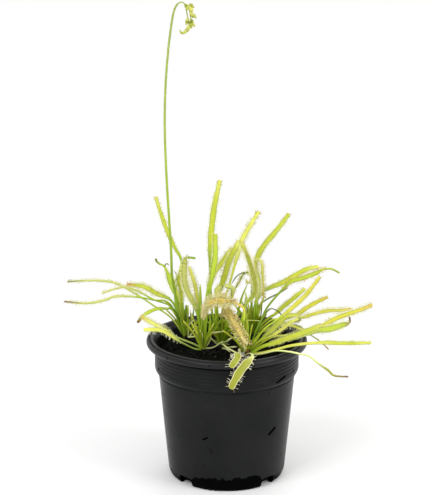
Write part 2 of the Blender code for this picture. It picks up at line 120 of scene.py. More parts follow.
# Colours as they look in daylight, in 8-bit sRGB
PALETTE = {
    "root": (212, 218, 146),
    "deep": (92, 120, 12),
    "moss": (138, 172, 26),
    "leaf": (168, 195, 40),
    "lime": (190, 208, 54),
    "bright": (197, 204, 58),
    "sage": (168, 184, 92),
    "khaki": (198, 202, 104),
    "dusk": (112, 126, 44),
    "olive": (160, 164, 48),
    "straw": (220, 218, 96),
    "lemon": (230, 230, 100),
    "butter": (244, 246, 170),
    "cream": (246, 238, 180),
    "ivory": (250, 247, 216),
    "honey": (236, 216, 112),
    "peach": (250, 226, 176),
    "apricot": (224, 174, 88),
    "mustard": (214, 208, 60),
    "gold": (226, 196, 84),
    "amber": (200, 140, 60),
    "brown": (128, 86, 54),
    "umber": (70, 44, 32),
}


class Hairs(NamedTuple):
    """Gland hairs of a blade. They grow from bare to arc degrees either side of the middle of its face."""

    count: float  # to a millimetre of blade
    bare: float
    arc: float
    length: float  # in millimetres, as are the radii of the stalk and of the drop on its end
    stalk: float
    drop: float
    stalk_tone: str = "butter"
    drop_tone: str = "cream"


HAIRS = {
    "bare": Hairs(0.0, 0.0, 0.0, 0.5, 0.06, 0.10),
    "short": Hairs(10.0, 30.0, 110.0, 0.9, 0.07, 0.15),
    "fringe": Hairs(14.0, 20.0, 110.0, 1.3, 0.075, 0.17),
    "long": Hairs(2.4, 70.0, 112.0, 2.0, 0.12, 0.18, "ivory", "ivory"),
    "woolly": Hairs(14.0, 0.0, 150.0, 1.3, 0.09, 0.22),
    "dense": Hairs(24.0, 0.0, 180.0, 2.0, 0.11, 0.27, "honey", "peach"),
    "matted": Hairs(38.0, 0.0, 180.0, 2.5, 0.11, 0.26, "butter", "peach"),
    "rusty": Hairs(11.0, 20.0, 110.0, 1.3, 0.08, 0.17, "gold", "apricot"),
    "dry": Hairs(3.0, 20.0, 105.0, 0.7, 0.06, 0.10, "gold", "brown"),
}


class Leaf(NamedTuple):
    """One leaf. The points, in millimetres on the plan, run from beside its rosette to its tip."""

    crown: str
    tier: int
    points: list
    blade: float  # how far along the leaf its blade starts, from 0 to 1
    width: float  # of the blade, in millimetres
    roll: float  # degrees that the face turns about the middle line
    tones: tuple  # petiole, blade and tip
    hairs: str = "fringe"
    slot: str = "leaf_green"
    stem: float = PETIOLE_WIDTH
    tail: float = 0.0  # the share of the leaf that is a thin, blind tail
    border: str | None = None  # the tone of its margin; with none it is a deeper shade of the skin


DUSKY = ("moss", "dusk", "olive")
SPENT = ("root", "root", "butter")

LEAVES = {
    # left side
    "leaf_left_1": Leaf("a", 0, [
        (-33, 27, 85), (-43.5, 31, 91.5), (-51.5, 33, 96.5), (-61.5, 35, 102), (-70.5, 37, 104.5),
        (-81.5, 38.5, 104.5), (-94.3, 40, 103.5),
    ], 0.5, 1.3, -35, ("lime", "khaki", "dusk"), "short", slot="leaf_pale", stem=1.0),
    "leaf_left_2": Leaf("a", 1, [
        (-33, 18, 95.5), (-43, 12, 100), (-53, 9, 102.5), (-64, 6, 103.5), (-71, 4, 101.5),
        (-80.5, 2, 100.5), (-93, 0, 102),
    ], 0.55, 1.4, -35, ("leaf", "khaki", "brown"), "short", slot="leaf_pale", stem=1.0),
    "leaf_left_3": Leaf("a", 1, [
        (-32, 33, 92.5), (-41.5, 37, 97), (-49.5, 40, 100.5), (-60, 45, 100.5),
    ], 0.5, 2.8, -40, ("moss", "bright", "amber")),
    "leaf_left_4": Leaf("a", 2, [
        (-31.5, 24, 91.5), (-43, 24, 97), (-53, 25, 102), (-61, 25, 104), (-73, 25, 100.5),
    ], 0.6, 1.3, -35, ("leaf", "khaki", "straw"), "short", slot="leaf_pale", stem=1.0),
    "leaf_left_5": Leaf("a", 0, [
        (-30, 14, 92.5), (-35.5, 11, 95), (-41, 8, 95.5), (-46, 5, 94), (-49, 3, 92), (-51.5, 0, 89.5),
    ], 0.6, 2.2, -35, ("moss", "lime", "brown"), "dry", slot="leaf_dry"),
    "leaf_left_6": Leaf("b", 1, [
        (-19.5, -5, 78.5), (-28, -5, 82), (-35.5, -6, 87), (-42.5, -6.5, 91), (-49.5, -7, 95.5),
    ], 0.5, 2.8, -35, ("sage", "lemon", "gold"), slot="leaf_pale"),
    "leaf_left_7": Leaf("b", 0, [
        (-19.5, -9, 77), (-26.5, -15, 82.5), (-33, -19, 88), (-38.5, -22, 91.5), (-47, -25, 92.5),
    ], 0.45, 3.2, -35, ("sage", "straw", "lemon"), "long", slot="leaf_pale"),
    # upper left
    "leaf_tall_1": Leaf("a", 2, [
        (-27, 32, 100), (-27, 35, 117), (-30.5, 36, 124.5), (-34, 37.5, 131.5), (-38, 39.5, 142),
        (-42, 41, 154.5),
    ], 0.6, 2.4, -30, ("leaf", "bright", "straw"), "short"),
    "leaf_tall_2": Leaf("b", 2, [
        (-16, -5, 89), (-18.5, -6, 101), (-22, -6, 108), (-24, -6, 114), (-24.5, -6, 122),
        (-24, -6, 128.5), (-22.5, -6, 129.5), (-18, -6, 129),
    ], 0.42, 3.2, -80, ("leaf", "khaki", "moss"), "woolly", slot="leaf_hairy", tail=0.13),
    "leaf_tall_3": Leaf("a", 1, [
        (-28, 36, 93.5), (-31.5, 40, 98.5), (-33.5, 43, 103.5), (-35.5, 45, 107.5), (-37.5, 46, 111.5),
        (-40, 47, 112.5), (-42, 48, 114), (-42.5, 49, 115.5),
    ], 0.35, 3.8, -20, ("leaf", "lime", "dusk"), "short", tail=0.3),
    "leaf_tall_4": Leaf("a", 2, [
        (-27, 20, 90.5), (-26.5, 21, 97.5), (-27, 21.5, 103.5), (-28.5, 22, 108), (-28, 22, 112),
        (-27.5, 22, 116), (-26.5, 21.5, 119),
    ], 0.5, 2.2, -70, ("lime", "bright", "lemon"), tail=0.2),
    "leaf_tall_5": Leaf("a", 2, [
        (-24.5, 26, 86.5), (-24, 27, 93),
    ], 0.7, 1.8, 0, ("deep", "moss", "leaf"), "bare"),
    "leaf_tall_6": Leaf("b", 1, [
        (-15.5, 0, 88.5), (-17, 3, 97.5), (-17.5, 5, 104), (-19, 8, 110.5), (-20.5, 10, 115),
        (-22, 12, 119.5),
    ], 0.5, 2.4, 0, ("leaf", "straw", "straw")),
    # middle
    "leaf_middle_1": Leaf("c", 2, [
        (-8.5, 7, 90), (-10, 10, 110), (-10, 13, 131), (-9, 15, 143.5), (-7.5, 16, 155),
        (-4.5, 18, 169),
    ], 0.55, 3.2, 0, ("moss", "bright", "straw"), "short"),
    "leaf_middle_2": Leaf("b", 2, [
        (-12, -7, 93), (-10, -9, 111), (-8, -11, 124.5), (-7, -12, 132), (-7, -14, 145),
    ], 0.6, 3.0, -38, ("leaf", "lime", "bright"), "short"),
    "leaf_middle_3": Leaf("b", 2, [
        (-13, -1, 97), (-11, 2, 110), (-8, 4, 117.5), (-3, 6.5, 124), (0, 8, 128.5), (2.5, 9, 131.5),
    ], 0.6, 2.9, 50, ("leaf", "bright", "straw")),
    "leaf_middle_4": Leaf("c", 2, [
        (-7, 3, 97), (-4.5, 2, 108.5), (-2, 2, 116), (0, 1, 123.5), (2.5, 0.5, 130), (4.5, 0, 134),
        (6.5, 0, 138),
    ], 0.5, 3.2, 105, ("lime", "bright", "lemon")),
    "leaf_middle_5": Leaf("c", 1, [
        (-3, 12, 94), (2, 20, 111), (6, 27, 124.5), (9, 31, 132.5), (13, 34, 139), (18, 38, 146.5),
    ], 0.62, 2.6, 33, ("bright", "lemon", "lemon"), slot="leaf_pale"),
    "leaf_middle_6": Leaf("d", 2, [
        (9, -11, 89), (9, -10.5, 98.5), (10.5, -10, 104), (14, -9, 107.5), (15.5, -8.5, 111),
        (15, -8, 116.5), (13.5, -7.5, 122.5), (11, -7, 130.5), (7, -6, 139.5),
    ], 0.45, 2.5, 0, ("leaf", "olive", "straw")),
    "leaf_furled_1": Leaf("c", 1, [
        (-1.5, 1, 90), (0.5, -2, 100), (2, -4, 104.5), (3, -6, 109.5), (2, -7.5, 112.5),
        (-0.5, -8.5, 113.5), (-4, -9, 113.5), (-6.5, -9.5, 111), (-5.5, -10, 109), (-2.5, -10, 109),
        (0.5, -10, 111),
    ], 0.4, 2.4, 30, ("leaf", "khaki", "straw"), "short", slot="leaf_pale"),
    "leaf_furled_2": Leaf("c", 2, [
        (-1, 4, 91.5), (1, 2, 102.5), (3, 1.5, 107.5), (5.5, 1, 111.5), (7.5, 0.5, 115.5),
        (9, 0, 118.5), (11.5, -0.5, 119.5), (13, -1, 118), (13.5, -1.5, 115.5), (12, -2, 114),
        (10, -2.5, 115),
    ], 0.5, 2.0, 0, ("leaf", "bright", "lemon"), "woolly"),
    "leaf_arched_1": Leaf("b", 1, [
        (-15, -10, 88), (-13.5, -14, 98.5), (-11.5, -17, 104.5), (-8, -19, 107.5), (-3.5, -21, 108.5),
        (1, -23, 108.5), (5.5, -25, 107.5), (9, -27, 105), (9, -28, 99),
    ], 0.4, 4.6, 45, ("lime", "gold", "lime"), "matted", slot="leaf_hairy", tail=0.34),
    "leaf_arched_2": Leaf("c", 0, [
        (-3.5, -3, 89), (-2.5, -11, 98.5), (0.5, -16, 100.5), (3, -20, 97), (6.5, -26, 92),
        (9, -30, 88.5), (11, -32, 86),
    ], 0.5, 2.8, 45, ("bright", "honey", "cream"), "dense", slot="leaf_hairy"),
    # front, over the lip
    "leaf_front_1": Leaf("c", 0, [
        (-3, -7, 79), (0, -18.5, 80), (3, -30.5, 81.8), (5, -41, 83.5), (5.4, -46.5, 82.8),
        (3.7, -50, 81.2), (1.5, -51.3, 78.5),
    ], 0.76, 4.4, 0, ("butter", "olive", "olive"), "long", slot="leaf_pale", stem=1.0, border="cream"),
    "leaf_front_2": Leaf("d", 0, [
        (12.5, -25.5, 79), (13.7, -37.5, 81.5), (13.3, -45.5, 82.6), (10.8, -50, 81.2),
        (6.7, -51.6, 76.2), (4, -52, 71.5), (1.6, -52, 66.3),
    ], 0.56, 4.6, 0, ("butter", "olive", "olive"), "long", slot="leaf_pale", border="cream"),
    # right, from the front rosette
    "leaf_right_1": Leaf("d", 0, [
        (19.5, -14, 79.5), (27.5, -17, 83), (35, -19, 86.5), (43, -21, 90), (52, -23, 94.5),
    ], 0.32, 4.4, 35, ("lime", "bright", "straw"), "short", stem=2.6),
    "leaf_right_2": Leaf("d", 0, [
        (19.5, -18, 77), (27.5, -21, 80), (35, -24, 83), (43.5, -26.5, 85), (53.5, -28, 86),
        (65, -31, 86.5), (79.5, -35, 88),
    ], 0.62, 2.6, 35, ("straw", "bright", "straw"), "short", stem=2.0),
    "leaf_right_3": Leaf("d", 0, [
        (18.5, -22, 77.5), (27, -29, 81.5), (34, -35, 82.8), (39.5, -38, 82.5), (45, -41, 82),
        (49.5, -44, 79), (55, -48, 76), (58.5, -50, 73.5), (66, -53.5, 74),
    ], 0.75, 1.6, 20, ("butter", "olive", "brown"), "dry", slot="leaf_dry", stem=1.2),
    "leaf_right_4": Leaf("d", 1, [
        (18, -4, 80), (25.5, 0, 85.5), (30, 2, 90), (34, 4, 92.5), (38, 6, 92.5), (41.5, 8, 90.5),
        (39.5, 10, 88), (35.5, 12, 86.5),
    ], 0.3, 3.2, 30, ("lime", "bright", "straw"), "short"),
    "leaf_right_5": Leaf("d", 2, [
        (18, -10.5, 81.5), (26, -12, 86), (32, -13, 90.5), (36, -13.5, 94), (40, -14, 96),
    ], 0.45, 2.6, 30, ("bright", "straw", "lemon"), "short"),
    "leaf_right_6": Leaf("d", 2, [
        (20, -7, 87), (27.5, -5, 92.5), (34, -3, 97), (39.5, -1, 101.5), (44.5, 0.5, 106),
        (48.5, 2, 111), (52.5, 4, 116),
    ], 0.5, 2.8, 30, ("lime", "mustard", "mustard"), "short"),
    "leaf_right_7": Leaf("d", 1, [
        (24.5, -6, 82.5), (35.5, -5, 84), (46, -4, 86), (54.5, -3, 89), (61, -2, 92.5), (70, 0, 95.5),
        (76.5, 1, 97.5), (82.5, 2, 100),
    ], 0.55, 3.0, 35, ("bright", "mustard", "gold")),
    "leaf_right_8": Leaf("d", 1, [
        (26, -11, 81), (35.5, -12, 83), (44, -13, 86), (51, -13.5, 89), (57.5, -14, 90),
        (64, -13.5, 92), (68.5, -13, 93.5), (68.5, -13, 97),
    ], 0.62, 4.2, 35, ("lime", "lime", "brown"), tail=0.1),
    "leaf_right_9": Leaf("d", 2, [
        (17, -4, 88), (21, 0, 94.5), (24, 3, 97), (26.5, 5, 96.5), (29.5, 7, 94), (31.5, 8, 91),
    ], 0.6, 1.4, 0, DUSKY, "bare", slot="leaf_dry", stem=1.2),
    # right, from the back rosette
    "leaf_back_1": Leaf("e", 2, [
        (14, 34, 97), (15.5, 39, 111.5), (17.5, 41.5, 118.5), (21.5, 44, 125), (26, 46, 130),
        (31, 48, 136), (36, 50, 142.5),
    ], 0.5, 3.1, 40, ("moss", "bright", "bright"), "short"),
    "leaf_back_2": Leaf("e", 2, [
        (16.5, 26, 94.5), (16.5, 25, 103), (16, 24, 112), (16, 23, 119), (17.5, 22, 121.5),
        (19.5, 21, 119.5), (20, 20, 113), (20.5, 19.5, 105.5), (20.5, 19, 99.5),
    ], 0.3, 1.6, 0, ("leaf", "straw", "gold"), "woolly", slot="leaf_hairy"),
    "leaf_back_3": Leaf("e", 2, [
        (17, 33, 92), (18.5, 36, 103), (16, 37, 115),
    ], 0.5, 2.0, 0, ("leaf", "lime", "straw")),
    "leaf_back_4": Leaf("e", 1, [
        (15.5, 37, 88.5), (20, 42, 96), (24, 46, 98), (31.5, 50, 100), (39.5, 54, 103.5),
        (46.5, 58, 106.5), (54.5, 62, 107.5),
    ], 0.45, 3.4, 30, ("moss", "bright", "straw"), "short"),
    "leaf_back_5": Leaf("e", 1, [
        (20, 28, 84.5), (23, 28.5, 91), (28.5, 29, 98), (33, 29, 103), (37, 29.5, 106.5),
        (44, 30, 108.5), (51.5, 30, 111.5), (55, 30, 113.5), (60, 30, 114), (65, 30, 111.5),
    ], 0.5, 3.0, 35, ("leaf", "lime", "olive"), "rusty", tail=0.22),
    "leaf_back_6": Leaf("e", 1, [
        (16.5, 33, 83.5), (18.5, 36, 90), (23, 38, 93.5), (29.5, 39.5, 96.5), (35.5, 40.5, 100),
    ], 0.6, 1.5, 0, DUSKY, "bare", slot="leaf_dry", stem=1.2),
    "leaf_back_7": Leaf("e", 0, [
        (21.5, 35, 80.5), (27.5, 38, 84), (33, 42, 88), (39, 46, 92), (46, 50, 97),
    ], 0.45, 2.8, 30, ("lime", "bright", "straw"), "short"),
    "leaf_back_8": Leaf("e", 0, [
        (25.5, 31, 82.5), (34, 33, 83), (41, 35, 85), (46.5, 37, 88.5), (51.5, 39, 91), (59, 40, 94.5),
    ], 0.5, 2.8, 35, ("bright", "mustard", "gold"), "short"),
    "leaf_back_9": Leaf("e", 0, [
        (28, 25, 81), (36.5, 25.5, 83.5), (44.5, 25.5, 86), (51.5, 25, 88.5), (59, 25, 90),
        (66, 24.5, 90.5), (72, 24, 91.5),
    ], 0.5, 2.3, 35, ("bright", "mustard", "gold")),
    "leaf_back_10": Leaf("e", 0, [
        (25, 23, 79), (39, 20, 83), (49, 15, 77.5), (54, 13, 74.5), (58.5, 11, 70.5),
    ], 0.6, 1.1, 0, ("dusk", "olive", "amber"), "dry", slot="leaf_dry", stem=1.1),
    "leaf_back_11": Leaf("e", 0, [
        (20.5, 20, 78.5), (29, 16, 83.5), (36.5, 14.5, 84), (44, 13, 81.5),
    ], 0.45, 2.2, 35, ("lime", "straw", "lemon"), "long", slot="leaf_hairy"),
    "leaf_back_12": Leaf("e", 2, [
        (12, 25, 81.5), (10.5, 24, 88.5),
    ], 0.7, 1.2, 0, ("leaf", "leaf", "lime"), "bare", stem=1.2),
    # spent petioles that have lost their blades
    "stalk_1": Leaf("b", 1, [
        (-8, -8, 77.5), (-2.5, -9, 81.5),
    ], 0.9, 1.0, 0, SPENT, "bare", slot="leaf_dry", stem=1.0, border="root"),
    "stalk_2": Leaf("b", 1, [
        (-10.5, -2, 79), (-10, 1, 80.5), (-9, 4, 81.5),
    ], 0.9, 1.0, 0, SPENT, "bare", slot="leaf_dry", stem=1.0, border="root"),
    "stalk_3": Leaf("c", 1, [
        (-6.5, -2, 78), (-10.5, -5, 83),
    ], 0.9, 1.0, 0, SPENT, "bare", slot="leaf_dry", stem=1.0, border="root"),
    "stalk_4": Leaf("c", 1, [
        (1, 6, 82.5), (7.5, 8, 87.5), (13, 9, 88.5), (19, 9.5, 88),
    ], 0.8, 1.2, 0, ("leaf", "straw", "butter"), "bare", slot="leaf_pale", stem=1.2),
}

# Fine strands among the leaves: stipules, torn petioles and thread-like tips, as (width, points)
# in millimetres on the plan
STRANDS = {
    "pale": [
        (1.1, [(-23, 16, 76.5), (-19.5, 15, 77), (-16, 14, 78)]),
        (0.9, [(-22, 17, 76.5), (-20, 17, 79.5), (-19, 17, 81.5)]),
        (0.8, [(-23, 18, 76), (-22.5, 17, 82), (-21, 13, 86.5), (-18.5, 12, 88)]),
        (1.0, [(-14, -6, 77), (-14.5, -6, 81), (-14.5, -6, 84.5), (-16, -5, 87)]),
        (1.0, [(-13, -6, 77), (-11, -6, 84), (-7, -5, 85.3), (-2.5, -4, 85.5)]),
        (1.1, [(-3, 2, 77), (-0.5, -5, 80), (2, -7, 82.5), (5, -9, 83.5), (7, -11, 83.5)]),
        (1.1, [(-3, -5, 76), (-0.5, -9, 76.5), (1.5, -13, 76)]),
        (1.0, [(9, -15, 76), (9.5, -18, 79.5), (8.5, -20, 83)]),
        (1.7, [(7, -14, 75), (6.5, -14, 78.5)]),
        (1.0, [(0, -4, 76), (3.5, -6, 77), (5.5, -6, 77)]),
        (0.9, [(-2.5, 3, 77), (0, 1, 83), (4.5, -2, 83.5), (6, -4, 84)]),
    ],
    "green": [
        (1.8, [(-14.5, -4, 77), (-15.2, -3, 92), (-15.5, -3, 104), (-15.5, -3, 113)]),
        (1.3, [(-26, 21, 77), (-28.5, 20, 88), (-30.5, 20, 99), (-30, 20, 105), (-28.5, 20, 108)]),
        (1.3, [(9, -14, 77), (7, -18, 88), (8, -21, 98), (9, -24, 104)]),
        (1.2, [(13.5, 26, 77), (9, 20, 84), (9.5, 20, 92), (10.5, 20, 100.5)]),
        (1.2, [(-1.5, 5, 77), (5, 5, 92), (7.5, 5, 101.5), (9, 5, 106), (11.5, 5, 112)]),
        (1.2, [(14, 26, 76), (12, 22, 82), (10.5, 22, 88.5)]),
        (1.2, [(15.5, 26, 77), (17.5, 22, 84), (17.5, 22, 97)]),
        (1.2, [(15, 25, 77), (15, 20, 87), (16, 20, 98.5)]),
        (1.3, [(-2, 3, 77), (1.5, 0, 84.5), (4, -2, 90.5), (7.5, -4, 98)]),
        (1.1, [(-2.5, 4, 77), (1, 2, 88), (2.5, 3, 97)]),
        (1.1, [(11, -11, 77), (11.5, -6, 88), (10.5, -4, 96)]),
        (1.1, [(-23, 21, 77), (-20.5, 17, 86), (-19.5, 14, 95)]),
        (1.4, [(-13, -5, 77), (-10, -8, 86), (-7.5, -10, 93), (-5, -11, 98)]),
        (1.3, [(-13.5, -6, 77), (-11, -10, 84), (-10, -12, 92), (-10, -13, 99)]),
        (1.2, [(-13, -4, 77), (-9, -3, 84), (-5, -2, 90), (-2, -1, 95)]),
        (1.3, [(-14, -4, 77), (-12.5, 0, 86), (-12, 2, 94), (-12.5, 3, 101)]),
        (1.4, [(-4, 4, 77), (-6.5, 1, 86), (-8, -1, 93), (-9.5, -2, 99)]),
        (1.3, [(-4, 5, 77), (-5.5, 6, 88), (-6, 7, 96), (-6, 8, 103)]),
        (1.3, [(-3, 3, 77), (-1.5, -3, 85), (-1, -6, 92), (-2, -8, 97)]),
        (1.2, [(-3, 4, 77), (0, -2, 84), (3, -6, 90), (6, -8, 93)]),
        (1.2, [(-3.5, 6, 77), (-8, 8, 85), (-11, 9, 91), (-14, 9, 96)]),
    ],
    "dark": [
        (0.7, [(11.5, -0.8, 119.6), (7.5, -3, 119.5), (4.5, -4, 117.5), (2, -5, 113.5)]),
        (0.7, [(-37.5, 46, 111.2), (-36, 46, 113), (-34.5, 46, 112)]),
        (0.7, [(15.5, 27, 77), (19, 22, 87), (20, 22, 97)]),
        (0.7, [(-23.5, 20, 77), (-21.5, 14, 88), (-21.5, 12, 94.5)]),
        (0.7, [(-32.6, 42, 101), (-29.8, 40, 106.5), (-31.5, 40, 110.5)]),
    ],
}
STRAND_LOOKS = {  # tones, border and slot
    "pale": (("root", "cream", "cream"), "cream", "leaf_pale"),
    "green": (("moss", "leaf", "lime"), None, "leaf_green"),
    "dark": (("dusk", "dusk", "olive"), None, "leaf_dry"),
}
STRAND_ROWS = 18

# Flower scape and its nodding tip, in millimetres on the plan
SCAPE_RADIUS = 0.75
SCAPE_ROWS = 240
SCAPE_POINTS = [
    (-25, 15.5, 77.5), (-28, 16.5, 92), (-31.8, 18, 110), (-32.6, 17, 131), (-34.6, 16, 169),
    (-35.4, 15, 199), (-34.8, 14, 222), (-33.1, 12, 242.5), (-31, 10, 258.2), (-29.3, 9.5, 265.7),
    (-27.4, 9, 268.7), (-25.6, 9, 269.5), (-24.2, 9, 269), (-23.5, 9, 267.7),
]
DOWN_COUNT = 260
DOWN_ROWS = (150, 236)  # the rows of the scape that carry its down

# The two rows of buds: the points of each row's axis, then its buds as (base, tip, width)
BUD_ROWS = {
    "buds_curl": ([
        (-23.6, 9, 267.9), (-22.8, 9, 264.6), (-22.1, 9, 260.8), (-21.4, 9, 256.6), (-22.4, 9, 253.5),
        (-25, 9, 252.3), (-26.3, 9, 253.4),
    ], [
        ((-21.9, 9, 261.1), (-23.1, 8.4, 257.3), 2.0), ((-21.2, 9, 259.1), (-20, 8.2, 255.5), 2.0),
        ((-21.3, 8.6, 257.4), (-22.4, 8, 253.7), 2.3), ((-22, 8.6, 254.9), (-24.6, 8.4, 252.5), 2.0),
        ((-24, 8.8, 253), (-26.2, 8.6, 252.6), 1.5), ((-25.8, 9, 252.7), (-26.5, 9, 254.6), 1.0),
    ]),
    "buds_row": ([
        (-23.6, 9, 268.4), (-22.4, 9, 267.3), (-21.1, 8.8, 264.6), (-20.5, 8.6, 260.5), (-19.9, 8.4, 258.1),
    ], [
        ((-23.4, 8.4, 268.7), (-22, 8, 265.5), 2.1), ((-22.2, 8.2, 267.9), (-19.3, 7.6, 264.8), 2.5),
        ((-21.2, 8.6, 268.7), (-18.7, 8.4, 266.6), 1.8), ((-20.9, 8.2, 264.6), (-19.1, 7.6, 261.4), 2.3),
        ((-19.4, 8.6, 263.3), (-17.5, 8.4, 260.9), 1.8), ((-20.6, 8.4, 260.8), (-19.2, 8, 257.9), 1.9),
        ((-19.8, 8.4, 258.7), (-18.2, 8.2, 256.3), 1.6),
    ]),
}

# Pot, in millimetres
POT_FLOOR = 1.4
POT_STEPS = 216
COLLAR_RADIUS = 40.4
RIB_HEIGHTS = (71.8, 69.8, 67.8, 65.8)
RIB_DEPTH = 0.25
LIP_FOOT = 76.0
OUTSIDE = slice(12, -4)  # the stretch of the profile down the outside, from the lip's edge to the foot
SLOT_COUNT = 4
SLOT_SIZE = (8.0, 9.4, 6.4)
SLOT_RADIUS = 31.5
HOLE_COUNT = 4
HOLE_RADIUS = 3.0
HOLE_RING = 17.0
DARK_FOOT_RADIUS = 28.5  # the foot is darker outside this radius
# The second look is darker plastic round the foot, and painted shade on the floor of a scratch.
DRY, DARK_FOOT_AND_SHADE, POLISHED = 0, 1, 2  # the pot's looks, in the order of its materials

# Scratches in the wall: bearing from the front in degrees, height, length, width and tilt in degrees
SCRATCHES = ((44.3, 33.5, 6.2, 1.9, 33.0), (-19.1, 32.2, 3.6, 1.1, 30.0), (47.5, 64.3, 8.0, 1.3, 16.0))
# Where a scratch's floor takes painted shade: ranges of height, and of depth below the outside, in
# millimetres.
SCRATCH_SHADE_ZONES = ((26.0, 40.0), (62.0, 68.0))
SCRATCH_SHADE_DEPTHS = (0.3, 0.9)

# Water drops on the wall and lip: bearing from the front in degrees, height and size
DROPS = (
    (-14.6, 25.0, 1.3), (-71.0, 65.0, 1.0), (-46.4, 77.6, 0.8), (-11.8, 78.1, 0.6), (38.4, 56.9, 0.9),
    (-29.9, 14.0, 0.6), (-22.6, 15.1, 0.8), (67.5, 65.1, 0.9), (29.5, 63.7, 0.6),
    (-24.0, 1.2, 0.5), (-17.0, 1.0, 0.7), (-11.0, 1.0, 0.6), (-6.0, 1.0, 0.4),
)

# Peat, in millimetres
PEAT_ROUND = 200
PEAT_RINGS = 84
CRUMB_COUNT = 900
FIBRE_COUNT = 60


# ---------------------------------------------------------------- colours and nodes

def rgba(colour):
    """A palette name, or linear red, green and blue, as the RGBA that a shader takes."""
    if isinstance(colour, str):
        channels = [value / 255.0 for value in PALETTE[colour]]
        colour = [((c + 0.055) / 1.055) ** 2.4 if c > 0.04045 else c / 12.92 for c in channels]
    return (*colour, 1.0)


class Nodes:
    """Short calls for building one material's node tree.

    A colour is a palette name, linear red, green and blue, or another node's output.
    """

    def __init__(self, name):
        self.material = bpy.data.materials.new(name)
        self.material.use_nodes = True
        self.tree = self.material.node_tree
        self.shader = self.tree.nodes["Principled BSDF"]
        self.place = self.add("ShaderNodeTexCoord").outputs["Object"]

    def add(self, kind, **settings):
        node = self.tree.nodes.new(kind)
        for key, value in settings.items():
            setattr(node, key, value)
        return node

    def feed(self, socket, source):
        """Links the socket to another node's output, or sets it to a number or a colour."""
        if isinstance(source, bpy.types.NodeSocket):
            self.tree.links.new(source, socket)
        else:
            socket.default_value = rgba(source) if isinstance(source, (str, tuple)) else source

    def math(self, operation, first, second=0.0):
        node = self.add("ShaderNodeMath", operation=operation)
        self.feed(node.inputs[0], first)
        self.feed(node.inputs[1], second)
        return node.outputs[0]

    def mix(self, factor, first, second, blend="MIX"):
        node = self.add("ShaderNodeMix", data_type="RGBA", blend_type=blend)
        self.feed(node.inputs["Factor"], factor)
        self.feed(node.inputs["A"], first)
        self.feed(node.inputs["B"], second)
        return node.outputs["Result"]

    def ramp(self, factor, stops):
        node = self.add("ShaderNodeValToRGB")
        elements = node.color_ramp.elements
        while len(elements) < len(stops):
            elements.new(0.5)
        for element, (position, colour) in zip(elements, stops):
            element.position = position
            element.color = rgba(colour)
        self.feed(node.inputs["Fac"], factor)
        return node.outputs["Color"]

    def span(self, value, low, high, to_low=0.0, to_high=1.0):
        """The value carried smoothly from one range to another."""
        node = self.add("ShaderNodeMapRange", interpolation_type="SMOOTHSTEP")
        for socket, item in zip(node.inputs, (value, low, high, to_low, to_high)):
            self.feed(socket, item)
        return node.outputs["Result"]

    def split(self, vector):
        """The vector's x, y and z."""
        node = self.add("ShaderNodeSeparateXYZ")
        self.feed(node.inputs["Vector"], vector)
        return node.outputs

    def scaled(self, vector, scale):
        node = self.add("ShaderNodeMapping")
        node.inputs["Scale"].default_value = scale
        self.feed(node.inputs["Vector"], vector)
        return node.outputs["Vector"]

    def noise(self, vector, scale, detail=3.0, roughness=0.55):
        node = self.add("ShaderNodeTexNoise")
        self.feed(node.inputs["Vector"], vector)
        self.feed(node.inputs["Scale"], scale)
        self.feed(node.inputs["Detail"], detail)
        self.feed(node.inputs["Roughness"], roughness)
        return node.outputs["Fac"]

    def surface(self, colour, roughness, specular, subsurface=0.0):
        """What the shader shows. Light that enters a leaf comes out again about a millimetre away."""
        inputs = self.shader.inputs
        self.feed(inputs["Base Color"], colour)
        self.feed(inputs["Roughness"], roughness)
        self.feed(inputs["Specular IOR Level"], specular)
        self.feed(inputs["Subsurface Weight"], subsurface)
        inputs["Subsurface Radius"].default_value = (0.9, 1.0, 0.35)
        self.feed(inputs["Subsurface Scale"], 1.2 * MM)

    def bump(self, height, strength, distance):
        """Relief on the surface, with the distance in millimetres."""
        node = self.add("ShaderNodeBump")
        self.feed(node.inputs["Strength"], strength)
        self.feed(node.inputs["Distance"], distance * MM)
        self.feed(node.inputs["Height"], height)
        self.feed(self.shader.inputs["Normal"], node.outputs["Normal"])


def skin_colour(nodes, around, along, shade, tones, blade, border):
    """Tones from petiole to tip, deeper in the shade, with a margin and a few brown specks."""
    petiole, middle, tip = tones
    start = min(0.64, max(0.14, blade - 0.08))
    tone = nodes.ramp(along, [(0.0, petiole if border else "moss"), (0.10, petiole), (start, petiole),
                              (start + 0.16, middle), (0.86, middle), (0.98, tip)])
    deeper = nodes.mix(1.0, tone, (0.60, 0.70, 0.48), "MULTIPLY")
    tone = nodes.mix(nodes.math("MULTIPLY", shade, 0.45), tone, deeper)
    angle = nodes.math("MULTIPLY", around, TAU / BLADE_LIMIT)
    sideways = nodes.math("ABSOLUTE", nodes.math("COSINE", angle))
    if border:
        on_blade = nodes.span(along, start, start + 0.12)
        margin = nodes.math("MULTIPLY", nodes.span(sideways, 0.78, 0.93), on_blade)
    else:
        margin = nodes.span(sideways, 0.66, 0.88)
        border = nodes.mix(1.0, tone, (0.50, 0.60, 0.38), "MULTIPLY")
    tone = nodes.mix(margin, tone, border)
    specks = nodes.span(nodes.noise(nodes.place, 420.0, 1.0), 0.72, 0.78)
    return nodes.mix(nodes.math("MULTIPLY", specks, 0.5), tone, "brown")


def hair_colour(nodes, around, along, style):
    """The tones of stalk and drop, with patches of straw. Aged hairs are brown."""
    tone = nodes.ramp(around, [(HAIR_END, style.stalk_tone), (DROP_START, style.drop_tone)])
    patches = nodes.span(nodes.noise(nodes.place, 700.0, 1.0), 0.35, 0.65, 0.0, 0.4)
    tone = nodes.mix(patches, tone, "straw")
    return nodes.mix(nodes.math("GREATER_THAN", along, (FRESH_HAIR + AGED_HAIR) / 2), tone, "brown")


